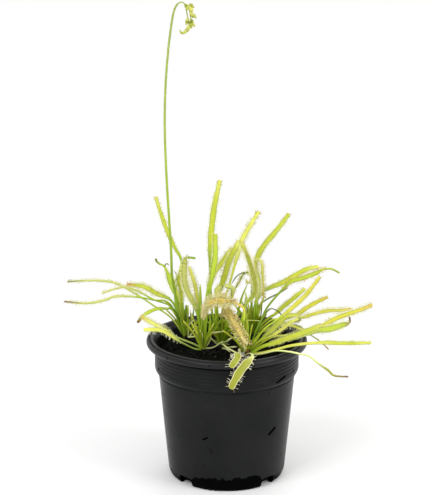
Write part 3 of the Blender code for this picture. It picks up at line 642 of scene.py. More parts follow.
def leaf_material(name, tones, blade=0.5, hairs="bare", border=None):
    """Skin with veins along it, and hairs with glossy drops, each in its own range of the surface map."""
    nodes = Nodes(f"{name}_skin")
    uv = nodes.add("ShaderNodeUVMap", uv_map="OFBake").outputs["UV"]
    around, along, _ = nodes.split(uv)
    mottle = nodes.noise(nodes.place, 260.0, 4.0)
    veins = nodes.noise(nodes.scaled(uv, (46.0, 5.0, 1.0)), 1.0, 3.0)
    shade = nodes.math("MULTIPLY", nodes.span(mottle, 0.3, 0.7), nodes.span(veins, 0.25, 0.75))
    skin = skin_colour(nodes, around, along, shade, tones, blade, border)
    hair = hair_colour(nodes, around, along, HAIRS[hairs])
    on_hair = nodes.math("GREATER_THAN", around, BLADE_LIMIT + 0.01)
    drop = nodes.span(around, HAIR_END, DROP_START)
    roughness = nodes.math("SUBTRACT", nodes.span(mottle, 0.2, 0.8, 0.34, 0.52),
                           nodes.math("MULTIPLY", drop, 0.26))
    nodes.surface(nodes.mix(on_hair, skin, hair), roughness, 0.38, 0.25)
    nodes.bump(nodes.math("ADD", veins, nodes.math("MULTIPLY", mottle, 0.5)), 0.35, 0.12)
    return nodes.material


def crown_material(name, tones):
    """Matted old leaf bases, in patches of three tones."""
    nodes = Nodes(name)
    patches = nodes.noise(nodes.place, 300.0, 4.0)
    colour = nodes.ramp(patches, list(zip((0.32, 0.5, 0.68), tones)))
    nodes.surface(colour, nodes.span(patches, 0.3, 0.7, 0.5, 0.85), 0.35)
    nodes.bump(nodes.noise(nodes.scaled(nodes.place, (1.0, 1.0, 0.3)), 900.0, 4.0), 0.6, 0.3)
    return nodes.material


def scape_material():
    """Moss green at the foot to grey green at the top, with fine streaks up the stem."""
    nodes = Nodes("scape_skin")
    _, _, height = nodes.split(nodes.place)
    base = nodes.ramp(nodes.span(height, 0.078, 0.27), [(0.0, "moss"), (0.3, "leaf"), (1.0, "sage")])
    streaks = nodes.noise(nodes.scaled(nodes.place, (1.0, 1.0, 0.06)), 1800.0, 3.0)
    colour = nodes.mix(nodes.span(streaks, 0.3, 0.7, 0.0, 0.5), base, "dusk")
    nodes.surface(colour, nodes.span(streaks, 0.3, 0.7, 0.35, 0.55), 0.45, 0.15)
    nodes.bump(streaks, 0.3, 0.1)
    return nodes.material


def bud_material():
    nodes = Nodes("sepals")
    patches = nodes.noise(nodes.place, 420.0, 3.0)
    colour = nodes.ramp(patches, [(0.34, "dusk"), (0.44, "olive"), (0.56, "khaki"), (0.70, "straw")])
    nodes.surface(colour, nodes.span(patches, 0.3, 0.7, 0.4, 0.6), 0.4, 0.25)
    nodes.bump(nodes.noise(nodes.place, 2200.0, 3.0), 0.4, 0.12)
    return nodes.material


def peat_material():
    """Almost black, with a few pale crumbs."""
    nodes = Nodes("damp_peat")
    crumbs = nodes.noise(nodes.place, 900.0, 6.0, 0.7)
    damp = nodes.noise(nodes.place, 120.0, 3.0)
    colour = nodes.ramp(crumbs, [(0.25, (0.0010, 0.0011, 0.0008)), (0.52, (0.0034, 0.0036, 0.0026)),
                                 (0.70, (0.008, 0.008, 0.006)), (0.85, (0.045, 0.042, 0.032))])
    nodes.surface(colour, nodes.span(damp, 0.3, 0.7, 0.6, 0.95), 0.03)
    nodes.bump(nodes.math("ADD", crumbs, nodes.noise(nodes.place, 2600.0, 3.0)), 0.9, 0.5)
    return nodes.material


def fibre_material():
    nodes = Nodes("peat_fibre")
    patches = nodes.noise(nodes.place, 160.0, 3.0)
    colour = nodes.ramp(patches, [(0.35, (0.012, 0.010, 0.007)), (0.58, (0.045, 0.036, 0.022)),
                                  (0.74, (0.34, 0.30, 0.22))])
    nodes.surface(colour, nodes.span(patches, 0.3, 0.7, 0.6, 0.9), 0.3)
    nodes.bump(nodes.noise(nodes.place, 3000.0, 3.0), 0.5, 0.1)
    return nodes.material


def pot_material(name, specular):
    """Black polypropylene, faintly clouded and scuffed."""
    nodes = Nodes(name)
    cloud = nodes.noise(nodes.place, 38.0, 4.0)
    grain = nodes.noise(nodes.place, 2400.0, 2.0)
    scuff = nodes.noise(nodes.scaled(nodes.place, (1.0, 1.0, 5.0)), 60.0, 5.0, 0.65)
    base = nodes.mix(nodes.span(cloud, 0.3, 0.7), (0.0095, 0.0103, 0.0100), (0.0138, 0.0147, 0.0142))
    colour = nodes.mix(nodes.span(scuff, 0.62, 0.78, 0.0, 0.3), base, (0.030, 0.030, 0.029))
    roughness = nodes.math("ADD", nodes.span(cloud, 0.25, 0.75, 0.26, 0.36),
                           nodes.span(scuff, 0.5, 0.8, 0.0, 0.14))
    nodes.surface(colour, roughness, specular)
    nodes.bump(nodes.math("ADD", nodes.math("MULTIPLY", grain, 0.12), scuff), 0.25, 0.15)
    return nodes.material


def dark_foot_and_shade_material():
    """The same plastic, darker, round the foot, and as painted shade inside a scratch."""
    nodes = Nodes("dark_foot_and_painted_scratch_shade")
    cloud = nodes.noise(nodes.place, 120.0, 4.0)
    colour = nodes.mix(cloud, (0.0006, 0.0007, 0.0007), (0.0022, 0.0024, 0.0024))
    nodes.surface(colour, nodes.span(cloud, 0.3, 0.7, 0.15, 0.35), 0.01)
    nodes.bump(cloud, 0.2, 0.1)
    return nodes.material


def water_material():
    """A drop on black plastic, which looks black too."""
    nodes = Nodes("water_on_black")
    film = nodes.noise(nodes.place, 900.0, 2.0)
    colour = nodes.mix(film, (0.0015, 0.0016, 0.0016), (0.004, 0.0042, 0.0042))
    nodes.surface(colour, nodes.span(film, 0.3, 0.7, 0.02, 0.06), 0.12)
    nodes.bump(film, 0.1, 0.05)
    return nodes.material


# ---------------------------------------------------------------- objects and meshes

def add_object(name, data):
    item = bpy.data.objects.new(name, data)
    bpy.context.scene.collection.objects.link(item)
    return item


def finish_piece(name, mesh, materials, nodes=()):
    """Puts a mesh in the scene as one piece of the object."""
    for material in materials:
        mesh.materials.append(material)
    piece = add_object(name, mesh)
    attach(piece, "root")
    if nodes:
        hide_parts(*nodes)


def mesh_from(bm, name):
    """Turns the bmesh into a mesh and frees it."""
    mesh = bpy.data.meshes.new(name)
    bm.to_mesh(mesh)
    bm.free()
    return mesh


class Shape:
    """Points, faces and surface-map coordinates gathered for one mesh."""

    def __init__(self):
        self.points = []
        self.corners = []
        self.sizes = []
        self.coords = []
        self.total = 0

    def add(self, points, faces, coords):
        """faces holds rows of point numbers, and coords one (x, y) for each corner of each face."""
        points = np.asarray(points, float).reshape(-1, 3)
        faces = np.asarray(faces, int)
        self.points.append(points)
        self.corners.append((faces + self.total).ravel())
        self.sizes.append(np.full(len(faces), faces.shape[1]))
        self.coords.append(np.asarray(coords, float).reshape(-1, 2))
        self.total += len(points)

    def mesh(self, name):
        """The gathered shape as a Blender mesh, turned from millimetres to metres."""
        mesh = bpy.data.meshes.new(name)
        points = np.vstack(self.points) * MM
        corners = np.concatenate(self.corners)
        sizes = np.concatenate(self.sizes)
        mesh.vertices.add(len(points))
        mesh.vertices.foreach_set("co", points.ravel())
        mesh.loops.add(len(corners))
        mesh.loops.foreach_set("vertex_index", corners)
        mesh.polygons.add(len(sizes))
        mesh.polygons.foreach_set("loop_start", np.concatenate([[0], np.cumsum(sizes)[:-1]]))
        mesh.update(calc_edges=True)
        layer = mesh.uv_layers.new(name="OFBake")
        layer.data.foreach_set("uv", np.vstack(self.coords).ravel())
        mesh.shade_smooth()
        return mesh


def unit(vectors):
    return vectors / np.maximum(np.linalg.norm(vectors, axis=-1, keepdims=True), 1e-12)


def smooth_step(values):
    values = np.clip(values, 0.0, 1.0)
    return values * values * (3.0 - 2.0 * values)


def dice(name):
    """A random generator whose seed is the name."""
    return np.random.default_rng(list(name.encode()))


def level_direction(bearing):
    """The level unit vector at this bearing, in radians from +X."""
    return np.array([math.cos(bearing), math.sin(bearing), 0.0])


def placed(points):
    """Points of the plan at their places on the plant, in millimetres."""
    return np.array(points) * PLAN_SCALE + PLAN_SHIFT


def spline_through(points, steps):
    """A Catmull-Rom curve through the points, with this many steps between each two."""
    points = np.array(points, float)
    points = np.vstack([2 * points[0] - points[1], points, 2 * points[-1] - points[-2]])
    t = np.linspace(0.0, 1.0, steps, endpoint=False)[:, None]
    spans = [0.5 * (2 * start + (end - before) * t + (2 * before - 5 * start + 4 * end - after) * t ** 2
                    + (3 * start - before - 3 * end + after) * t ** 3)
             for before, start, end, after in zip(points, points[1:], points[2:], points[3:])]
    return np.vstack([*spans, points[-2:-1]])


def path_length(path):
    return float(np.linalg.norm(np.diff(path, axis=0), axis=1).sum())


def between_rows(shares, known, rows):
    """Rows at these shares, read off between the rows at the known ones."""
    return np.column_stack([np.interp(shares, known, rows[:, axis]) for axis in range(3)])


def path_at(points, shares):
    """Points at these shares, from 0 to 1, of the length of the curve through the given ones."""
    dense = spline_through(points, DENSE_STEPS)
    reach = np.concatenate([[0.0], np.cumsum(np.linalg.norm(np.diff(dense, axis=0), axis=1))])
    return between_rows(np.asarray(shares) * reach[-1], reach, dense)


def even_path(points, count):
    return path_at(points, np.linspace(0.0, 1.0, count))


def add_rings(shape, rings, across=(0.0, 1.0), levels=None, flip=False):
    """A tube through the rings of points (rows x count x 3), closed at both ends by a fan.

    The surface map's first axis runs round the tube, and its second one takes each row's level.
    """
    rows, count = rings.shape[:2]
    levels = np.linspace(0.0, 1.0, rows) if levels is None else levels
    row, step = [grid.ravel() for grid in np.meshgrid(np.arange(rows - 1), np.arange(count), indexing="ij")]
    after = (step + 1) % count
    faces = np.column_stack([row * count + step, (row + 1) * count + step,
                             (row + 1) * count + after, row * count + after])
    width = (across[1] - across[0]) / count
    left, right = across[0] + width * step, across[0] + width * (step + 1)
    foot, top = levels[row], levels[row + 1]
    coords = np.stack([np.column_stack([left, left, right, right]),
                       np.column_stack([foot, top, top, foot])], axis=-1)
    shape.add(rings.reshape(-1, 3), faces[:, ::-1] if flip else faces, coords[:, ::-1] if flip else coords)
    step = np.arange(count)
    for ring, turned in ((0, flip), (rows - 1, not flip)):
        fan = np.column_stack([np.zeros(count, int), 1 + step, 1 + (step + 1) % count])
        sides = across[0] + width * np.column_stack([step + 0.5, step, step + 1])
        corner = np.stack([sides, np.full((count, 3), levels[ring])], axis=-1)
        points = np.vstack([rings[ring].mean(axis=0), rings[ring]])
        shape.add(points, fan[:, ::-1] if turned else fan, corner[:, ::-1] if turned else corner)


def round_sides(path, reference=(0.0, 1.0, 0.0)):
    """Two unit directions square to a path and to each other, at each of its points."""
    tangent = unit(np.gradient(path, axis=0))
    side = unit(np.cross(tangent, reference))
    return side, np.cross(side, tangent)


def add_tube(shape, path, radii, count=8, across=(0.0, BLADE_LIMIT), reference=(0.0, 1.0, 0.0)):
    """A round tube along a path, with one radius or one for each point."""
    side, normal = round_sides(path, reference)
    angles = np.arange(count) * TAU / count
    radii = np.broadcast_to(radii, len(path))[:, None, None]
    rings = path[:, None] + radii * (side[:, None] * np.cos(angles)[:, None]
                                     + normal[:, None] * np.sin(angles)[:, None])
    add_rings(shape, rings, across)


def sphere(subdivisions):
    """Points on the unit sphere, and the triangles between them."""
    bm = bmesh.new()
    bmesh.ops.create_icosphere(bm, subdivisions=subdivisions, radius=1.0)
    points = np.array([vert.co for vert in bm.verts])
    faces = np.array([[vert.index for vert in face.verts] for face in bm.faces])
    bm.free()
    return points, faces


BEAD_POINTS = np.array([(1, 0, 0), (-1, 0, 0), (0, 1, 0), (0, -1, 0), (0, 0, 1), (0, 0, -1)], float)
BEAD_FACES = np.array([(0, 2, 4), (2, 1, 4), (1, 3, 4), (3, 0, 4),
                       (2, 0, 5), (1, 2, 5), (3, 1, 5), (0, 3, 5)])


def add_hairs(shape, bases, directions, bends, lengths, stalk, drop, aged=None):
    """Gland hairs inside the CAD box: a three-sided stalk that tapers and bends, with a drop on its end."""
    low, high = np.array(CAD_BOX) / MM
    tops = bases + lengths[:, None] * (directions + 0.3 * bends)
    inside = ((tops > low + drop) & (tops < high - drop)).all(axis=1)
    bases, directions, bends, tops = bases[inside], directions[inside], bends[inside], tops[inside]
    middles = bases + lengths[inside, None] * (0.55 * directions + 0.08 * bends)
    side = unit(np.cross(directions, (0.31, 0.52, 0.79)))
    other = np.cross(directions, side)
    angles = np.arange(3) * TAU / 3
    ring = stalk * (side[:, None] * np.cos(angles)[:, None] + other[:, None] * np.sin(angles)[:, None])
    rings = np.stack([bases[:, None] + ring, middles[:, None] + 0.75 * ring, tops[:, None] + 0.55 * ring],
                     axis=1)
    count = len(bases)
    offset = np.arange(count)[:, None, None]
    aged = np.zeros(count, bool) if aged is None else aged[inside]
    ages = np.where(aged, AGED_HAIR, FRESH_HAIR)[:, None, None]
    step = np.arange(6)
    after = step // 3 * 3 + (step + 1) % 3
    faces = np.column_stack([step, after, after + 3, step + 3])
    level = HAIR_START + (HAIR_END - HAIR_START) * (step[:, None] // 3 + np.array([0, 0, 1, 1])) / 2
    coords = np.stack(np.broadcast_arrays(level, ages + HAIR_BAND * np.array([0, 1, 1, 0])), axis=-1)
    shape.add(rings, (faces + 9 * offset).reshape(-1, 4), coords)
    sizes = drop * (0.8 + 0.4 * np.abs(np.sin(np.arange(count) * 1.7)))[:, None, None]
    bead_faces = (BEAD_FACES + len(BEAD_POINTS) * offset).reshape(-1, 3)
    level = np.broadcast_to(HAIR_END + np.array([0.05, 0.09, 0.07]), (len(BEAD_FACES), 3))
    coords = np.stack(np.broadcast_arrays(level, ages + HAIR_BAND * np.array([0, 0, 1])), axis=-1)
    shape.add(tops[:, None] + BEAD_POINTS * sizes, bead_faces, coords)


# ---------------------------------------------------------------- leaves

def crown_box(letter):
    """The middle of a rosette's stem and half its size, in millimetres."""
    low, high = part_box(f"crown_{letter}")
    return np.array((low + high) / 2) / MM, np.array((high - low) / 2) / MM


def leaf_base(leaf, first):
    """The point in the rosette where the petiole starts, on the side of the leaf's first point."""
    middle, _ = crown_box(leaf.crown)
    out = unit((first - middle) * (1.0, 1.0, 0.0)) * CROWN_REACH[leaf.crown]
    return (middle[0] + out[0], middle[1] + out[1], TIER_HEIGHTS[leaf.tier])


def blade_share(leaf, along):
    """0 on the petiole and 1 on the blade."""
    return smooth_step((along - leaf.blade + 0.12) / 0.24)


def half_widths(leaf, along, length):
    """Half the width at each row: petiole, blade and thin tail, with a round end."""
    petiole = min(leaf.stem, leaf.width)
    width = petiole + (leaf.width - petiole) * blade_share(leaf, along)
    width *= 1.0 - TIP_TAPER * smooth_step((along - 0.75) / 0.25)
    if leaf.tail:
        width += (TAIL_WIDTH - width) * smooth_step((along - 1.0 + leaf.tail) / (0.35 * leaf.tail))
    left = np.clip((1.0 - along) * length / (0.5 * width), 0.0, 1.0)
    return 0.5 * width * np.sqrt(np.clip(1.0 - (1.0 - left) ** 2, 0.003, 1.0))


def leaf_frames(path, roll):
    """Tangent, side and upper normal at each point of a leaf's middle line."""
    tangent = unit(np.gradient(path, axis=0))
    outward = (path[-1] - path[0]) * (1.0, 1.0, 0.0)
    across = np.cross(outward, (0.0, 0.0, 1.0))
    side = unit(across - (tangent @ across)[:, None] * tangent)
    normal = np.cross(side, tangent)
    angle = math.radians(roll)
    side = side * math.cos(angle) - normal * math.sin(angle)
    return tangent, side, np.cross(side, tangent)


def surface_height(spread, rise, half, thick, blade):
    """Height of a leaf's surface above its middle line: a channelled petiole opens into a strap."""
    channel = (0.20 - 0.08 * blade) * half * np.maximum(rise, 0.0) * (1.0 - spread ** 2)
    lift = (0.06 + 0.12 * blade) * half * (spread ** 2 - 0.5)
    return thick * np.sign(rise) * np.abs(rise) ** 0.8 - channel + lift


def leaf_rings(leaf, path, frames, along, rng):
    """Rings of points round the leaf, and its half widths and thicknesses."""
    _, side, normal = frames
    wobble = 1.0 + 0.05 * np.sin(along * rng.uniform(30, 60) + rng.uniform(0, TAU)) * smooth_step(along * 2)
    half = half_widths(leaf, along, path_length(path)) * wobble
    blade = blade_share(leaf, along)
    thick = np.minimum(0.42 - 0.12 * blade, half * 0.9)
    angles = np.arange(LEAF_ROUND) * TAU / LEAF_ROUND
    height = surface_height(np.cos(angles), np.sin(angles), half[:, None], thick[:, None], blade[:, None])
    rings = (path[:, None] + side[:, None] * (half[:, None] * np.cos(angles))[..., None]
             + normal[:, None] * height[..., None])
    return rings, half, thick


def leaf_hairs(shape, leaf, path, frames, along, half, thick, rng):
    """Hairs on the margins and the face of the blade, which fan out at its two ends."""
    hairs = HAIRS[leaf.hairs]
    start, end = leaf.blade - 0.04, 0.996 - 0.6 * leaf.tail
    count = round(hairs.count * path_length(path) * (end - start))
    shares = rng.uniform(start, end, count)
    reach = rng.choice((-1.0, 1.0), count) * rng.uniform(hairs.bare, hairs.arc, count)
    spread, rise = np.cos(np.radians(90.0 + reach)), np.sin(np.radians(90.0 + reach))
    wide, deep = np.interp(shares, along, half), np.interp(shares, along, thick)
    height = surface_height(spread, rise, wide, deep, blade_share(leaf, shares))
    middle, tangent, side, normal = [between_rows(shares, along, rows) for rows in (path, *frames)]
    bases = middle + side * (0.96 * wide * spread)[:, None] + normal * (0.9 * height)[:, None]
    lean = (rng.uniform(-0.4, 0.4, count) + 1.2 * smooth_step((shares - end + 0.05) / 0.05)
            - 0.8 * smooth_step((start + 0.05 - shares) / 0.05))
    directions = unit(side * spread[:, None] + normal * rise[:, None] + tangent * lean[:, None])
    grown = 0.5 + 0.5 * smooth_step((shares - start) / 0.1)
    lengths = hairs.length * rng.uniform(0.75, 1.2, count) * (0.5 + 0.5 * np.abs(spread)) * grown
    bends = normal * rng.uniform(-0.3, 1.0, count)[:, None]
    aged = rng.random(count) < 0.01 + 0.15 * smooth_step((shares - end + 0.12) / 0.12)
    add_hairs(shape, bases, directions, bends, lengths, hairs.stalk, hairs.drop, aged)


def make_leaf(name, leaf):
    rng = dice(name)
    along = 1.0 - (1.0 - np.linspace(0.0, 1.0, LEAF_ROWS)) ** 1.4  # rows draw closer towards the tip
    points = placed(leaf.points)
    path = path_at([leaf_base(leaf, points[0]), *points], along)
    frames = leaf_frames(path, leaf.roll)
    rings, half, thick = leaf_rings(leaf, path, frames, along, rng)
    shape = Shape()
    add_rings(shape, rings, (0.0, BLADE_LIMIT), along)
    leaf_hairs(shape, leaf, path, frames, along, half, thick, rng)
    skin = leaf_material(name, leaf.tones, leaf.blade, leaf.hairs, leaf.border)
    finish_piece(f"{name}_skin", shape.mesh(name), [skin], [name])


def add_strand(shape, points, width, taper):
    """A thin round strand that narrows to its end over this share of its length."""
    share = np.linspace(0.0, 1.0, len(points))
    add_tube(shape, points, 0.5 * width * np.sqrt(np.clip((1.02 - share) / taper, 0.05, 1.0)))


def make_strands(group):
    """All the fine strands of one look, as one piece."""
    tones, border, slot = STRAND_LOOKS[group]
    shape = Shape()
    for width, points in STRANDS[group]:
        add_strand(shape, even_path(placed(points), STRAND_ROWS), width, 0.3)
    name = f"{group}_strands"
    finish_piece(name, shape.mesh(name), [leaf_material(name, tones, border=border)])


# ---------------------------------------------------------------- rosettes

def scale_leaf(shape, base, bearing, length, rise, width, rng):
    """One short strip, the stub of an old leaf, that leans out from the rosette."""
    share = np.linspace(0.0, 1.0, 9)[:, None]
    path = base + level_direction(bearing) * share * length * math.cos(rise) + np.array([0.0, 0.0, 1.0]) * (
        share * length * math.sin(rise) - share ** 2 * length * rng.uniform(0.0, 0.35))
    side = np.array([-math.sin(bearing), math.cos(bearing), 0.0])
    normal = np.cross(side, unit(np.gradient(path, axis=0)))
    half = width * np.sqrt(np.clip(1.02 - share, 0, 1)) * 0.5
    angles = np.arange(8) * TAU / 8
    rings = (path[:, None] + side * (half * np.cos(angles))[..., None]
             + normal[:, None] * (0.25 * np.sin(angles) + 0.3 * half * np.cos(angles) ** 2)[..., None])
    add_rings(shape, rings, flip=True)


def make_crown(letter, material):
    """A lumpy stub with the bases of old leaves round it."""
    rng = dice(f"crown {letter}")
    middle, half = crown_box(letter)
    shape = Shape()
    angles = np.arange(20) * TAU / 20
    rings = []
    for level in np.linspace(-0.98, 0.98, 11):
        ring = np.column_stack([np.cos(angles), np.sin(angles), np.full(20, level)])
        ring[:, :2] *= math.sqrt(1.0 - level ** 2)
        lump = [1.0 - 0.22 * abs(noise.noise(Vector(point) * 2.3 + Vector(middle))) for point in ring]
        rings.append(middle + ring * np.array(lump)[:, None] * half * STUB_SHARE)
    add_rings(shape, np.array(rings), flip=True)
    for index in range(STUB_COUNT):
        bearing = index * GOLDEN_ANGLE + rng.uniform(-0.3, 0.3)
        tier = index / STUB_COUNT
        base = middle + level_direction(bearing) * half[0] * 0.35
        base[2] += half[2] * (tier - 0.4)
        length, width = rng.uniform(2.0, 3.5), rng.uniform(1.0, 1.6)
        scale_leaf(shape, base, bearing, length, 0.2 + 0.8 * tier, width, rng)
    name = f"rosette_{letter}"
    finish_piece(name, shape.mesh(name), [material], [f"crown_{letter}"])


def make_young_petioles(letter, material):
    """Thin petioles of the small inner leaves, which fill the middle of a rosette."""
    rng = dice(f"petioles {letter}")
    middle, half = crown_box(letter)
    shape = Shape()
    for index in range(YOUNG_COUNT):
        bearing = index * GOLDEN_ANGLE + rng.uniform(-0.4, 0.4)
        lean = math.radians(rng.uniform(50, 82))
        length = rng.uniform(*YOUNG_LENGTH)
        out = level_direction(bearing)
        base = middle + out * half[0] * rng.uniform(0.1, 0.4)
        knee = base + out * 0.5 * length * math.cos(lean) + (0.0, 0.0, 0.5 * length * math.sin(lean))
        end = base + out * length * math.cos(lean) * 1.2 + (0.0, 0.0, length * math.sin(lean) * 0.96)
        add_strand(shape, even_path([base, knee, end], 20), rng.uniform(0.7, 1.2), 0.15)
    name = f"young_petioles_{letter}"
    finish_piece(name, shape.mesh(name), [material])


# ---------------------------------------------------------------- scape and buds

def make_scape(material):
    """The bare stem and the thin axes of its two rows of buds, finely downy near the top."""
    rng = dice("scape")
    path = even_path(placed(SCAPE_POINTS), SCAPE_ROWS)
    share = np.linspace(0.0, 1.0, len(path))
    shape = Shape()
    taper = (1.0 - 0.2 * share) * (1.0 - 0.4 * smooth_step((share - 0.94) / 0.06))
    add_tube(shape, path, SCAPE_RADIUS * taper, 12)
    for axis, _ in BUD_ROWS.values():
        add_tube(shape, even_path(placed(axis), 30), np.linspace(0.36, 0.22, 30))
    side, normal = round_sides(path)
    rows = rng.integers(*DOWN_ROWS, DOWN_COUNT)
    angles = rng.uniform(0, TAU, DOWN_COUNT)[:, None]
    outs = side[rows] * np.cos(angles) + normal[rows] * np.sin(angles)
    lengths = rng.uniform(0.25, 0.6, DOWN_COUNT)
    add_hairs(shape, path[rows] + outs * 0.45, outs, outs * 0.0, lengths, 0.04, 0.07)
    finish_piece("scape_stem", shape.mesh("scape_stem"), [material], ["flower_scape"])


def add_bud(shape, base, tip, width, phase):
    """A closed bud: a ribbed egg of five sepals whose points part a little at the top."""
    base, tip = placed((base, tip))
    axis = tip - base
    side = unit(np.cross(axis, (0.2, 0.9, 0.4)))
    other = np.cross(unit(axis), side)
    angles = np.arange(20) * TAU / 20
    ribs = np.cos(5 * angles + phase)[:, None]
    around = side * np.cos(angles)[:, None] + other * np.sin(angles)[:, None]
    rings = []
    for share in np.linspace(0.0, 1.0, 14):
        radius = 0.5 * width * math.sin(math.pi * min(0.97, 0.08 + 0.9 * share)) ** 0.7
        point = base + axis * (share + 0.08 * (share > 0.99) * ribs)
        rings.append(point + radius * (1.0 + 0.13 * share * ribs) * around)
    add_rings(shape, np.array(rings), flip=True)


def make_buds(name, material):
    shape = Shape()
    _, buds = BUD_ROWS[name]
    for index, (base, tip, width) in enumerate(buds):
        add_bud(shape, base, tip, width, index)
    finish_piece(f"{name}_sepals", shape.mesh(name), [material], [name])


# ---------------------------------------------------------------- peat

def peat_height(x, y):
    """Crumbly relief of the peat's top, in millimetres."""
    spot = Vector((x, y, 0.0))
    return (1.1 * noise.noise(spot * 0.09) + 0.7 * noise.noise(spot * 0.28 + Vector((7, 3, 1)))
            + 0.45 * noise.noise(spot * 0.8) + 0.25 * noise.noise(spot * 1.9))


def peat_top(x, y, edge):
    """Height of the peat's surface against the plug's top: it sinks towards the pot's wall."""
    sink = 1.8 * float(smooth_step(np.array((math.hypot(x, y) - 33.0) / (edge - 33.0))))
    return min(max(peat_height(x, y), -2.5), 0.85) - 0.9 - sink


def random_spot(rng, reach):
    """A point in the circle of this radius, all of it equally likely."""
    angle, radius = rng.uniform(0, TAU), reach * math.sqrt(rng.random())
    return radius * math.cos(angle), radius * math.sin(angle)


def make_peat(material):
    """The plug of peat, with a crumbled top and loose crumbs."""
    rng = dice("peat")
    low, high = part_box("peat")
    top, bottom = high.z / MM, low.z / MM
    edge = (high.x - low.x) / 2 / MM - 0.05
    angles = np.arange(PEAT_ROUND) * TAU / PEAT_ROUND
    circle = np.column_stack([np.cos(angles), np.sin(angles)])
    rings = [np.column_stack([circle * radius, np.full(PEAT_ROUND, height)])
             for radius, height in ((29.5, bottom + 0.1), (edge - 2.6, 58.0), (edge, 64.5))]
    for radius in np.linspace(edge, 0.4, PEAT_RINGS):
        heights = [top + peat_top(x, y, edge) for x, y in circle * radius]
        rings.append(np.column_stack([circle * radius, heights]))
    shape = Shape()
    add_rings(shape, np.array(rings), flip=True)
    ball, faces = sphere(1)
    for _ in range(CRUMB_COUNT):
        x, y = random_spot(rng, edge - 1.5)
        size = rng.uniform(0.25, 0.8) * np.array([1.0, rng.uniform(0.6, 1.0), rng.uniform(0.4, 0.8)])
        turn = np.array(Euler(rng.uniform(0, TAU, 3)).to_matrix())
        points = (ball * size * (1 + 0.25 * np.sin(ball[:, [1, 2, 0]] * 5))) @ turn.T
        height = min(top - 0.3, top + peat_top(x, y, edge))
        shape.add(points + (x, y, height), faces, np.full((len(faces), 3, 2), 0.5))
    finish_piece("peat_plug", shape.mesh("peat_plug"), [material], ["peat"])


def make_fibres(material):
    """Loose fibres that lie on the peat."""
    rng = dice("fibres")
    low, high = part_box("peat")
    edge = (high.x - low.x) / 2 / MM
    shape = Shape()
    steps = np.linspace(-0.5, 0.5, 6)
    for _ in range(FIBRE_COUNT):
        middle = random_spot(rng, edge - 5.0)
        heading = rng.uniform(0, TAU) + rng.uniform(-0.8, 0.8) * steps
        length = rng.uniform(1.5, 5.0)
        x = middle[0] + length * steps * np.cos(heading)
        y = middle[1] + length * steps * np.sin(heading)
        z = [high.z / MM + peat_top(*spot, edge) + 0.2 for spot in zip(x, y)]
        path = np.column_stack([x, y, z])
        add_tube(shape, path, rng.uniform(0.08, 0.18), 5, (0.0, 1.0), (0.0, 0.0, 1.0))
    finish_piece("peat_fibres", shape.mesh("peat_fibres"), [material])


# ---------------------------------------------------------------- pot

def pot_profile():
    """(radius, z) from the middle of the floor up the inside, over the lip, down the outside and back."""
    ribs = []
    for height in RIB_HEIGHTS:
        ribs += [(COLLAR_RADIUS, height + 0.5), (COLLAR_RADIUS - RIB_DEPTH, height + 0.15),
                 (COLLAR_RADIUS - RIB_DEPTH, height - 0.15), (COLLAR_RADIUS, height - 0.5)]
    lower_wall = [(33.1 + 0.095 * (z - 5.0), z) for z in (11.0, 10.0, 9.0, 8.0, 7.0, 6.0, 5.0)]
    return [
        (0.0, POT_FLOOR), (30.0, POT_FLOOR), (36.5, 57.5), (38.9, 64.0), (39.2, 76.4),
        (41.0, 79.3), (41.7, 80.0), (42.6, 79.8), (42.9, 78.5), (43.5, 78.2), (43.9, 79.2), (44.6, 79.1),
        (45.0, 78.4), (45.0, 77.0), (44.5, 76.2), (40.5, LIP_FOOT), (39.8, 75.6), (39.8, 74.4),
        (COLLAR_RADIUS, 73.9), *ribs, (COLLAR_RADIUS, 63.5), (40.2, 62.3), (39.6, 61.2), (38.8, 60.6),
        (38.0, 60.4), (38.0, 59.7), (38.4, 59.3), (38.1, 57.5), (35.5, 30.0), *lower_wall,
        (33.0, 3.6), (32.1, 1.0), (31.2, 0.0), (29.0, 0.0), (28.0, 0.7), (0.0, 0.7),
    ]


def rounded(profile, radius):
    """The profile with each corner replaced by a short curve."""
    points = [np.array(profile[0])]
    for before, corner, after in zip(profile, profile[1:], profile[2:]):
        before, corner, after = np.array(before), np.array(corner), np.array(after)
        into, out = corner - before, after - corner
        cut = min(radius, 0.42 * np.linalg.norm(into), 0.42 * np.linalg.norm(out))
        start, end = corner - unit(into) * cut, corner + unit(out) * cut
        points += [(1 - t) ** 2 * start + 2 * t * (1 - t) * corner + t ** 2 * end for t in (0.0, 0.5, 1.0)]
    points.append(np.array(profile[-1]))
    return points


def outer_radius(height):
    """Radius of the pot's outside at this height."""
    outside = pot_profile()[OUTSIDE][::-1]
    return float(np.interp(height, [point[1] for point in outside], [point[0] for point in outside]))


def turned_mesh(name, profile, steps):
    bm = bmesh.new()
    verts = [bm.verts.new((radius * MM, 0.0, height * MM)) for radius, height in profile]
    edges = [bm.edges.new(pair) for pair in zip(verts, verts[1:])]
    bmesh.ops.spin(bm, geom=verts + edges, axis=(0, 0, 1), cent=(0, 0, 0), angle=TAU, steps=steps,
                   use_merge=True)
    bmesh.ops.remove_doubles(bm, verts=bm.verts, dist=0.00002)
    bmesh.ops.recalc_face_normals(bm, faces=bm.faces)
    return mesh_from(bm, name)


def block_mesh(size, bevel):
    """A block with its long edges rounded."""
    bm = bmesh.new()
    bmesh.ops.create_cube(bm, size=1.0)
    bmesh.ops.scale(bm, vec=[side * MM for side in size], verts=bm.verts)
    long_edges = [edge for edge in bm.edges
                  if abs((edge.verts[0].co - edge.verts[1].co).x) > 0.5 * size[0] * MM]
    bmesh.ops.bevel(bm, geom=long_edges, offset=bevel * MM, segments=5, affect="EDGES", profile=0.5)
    return mesh_from(bm, "cutter")


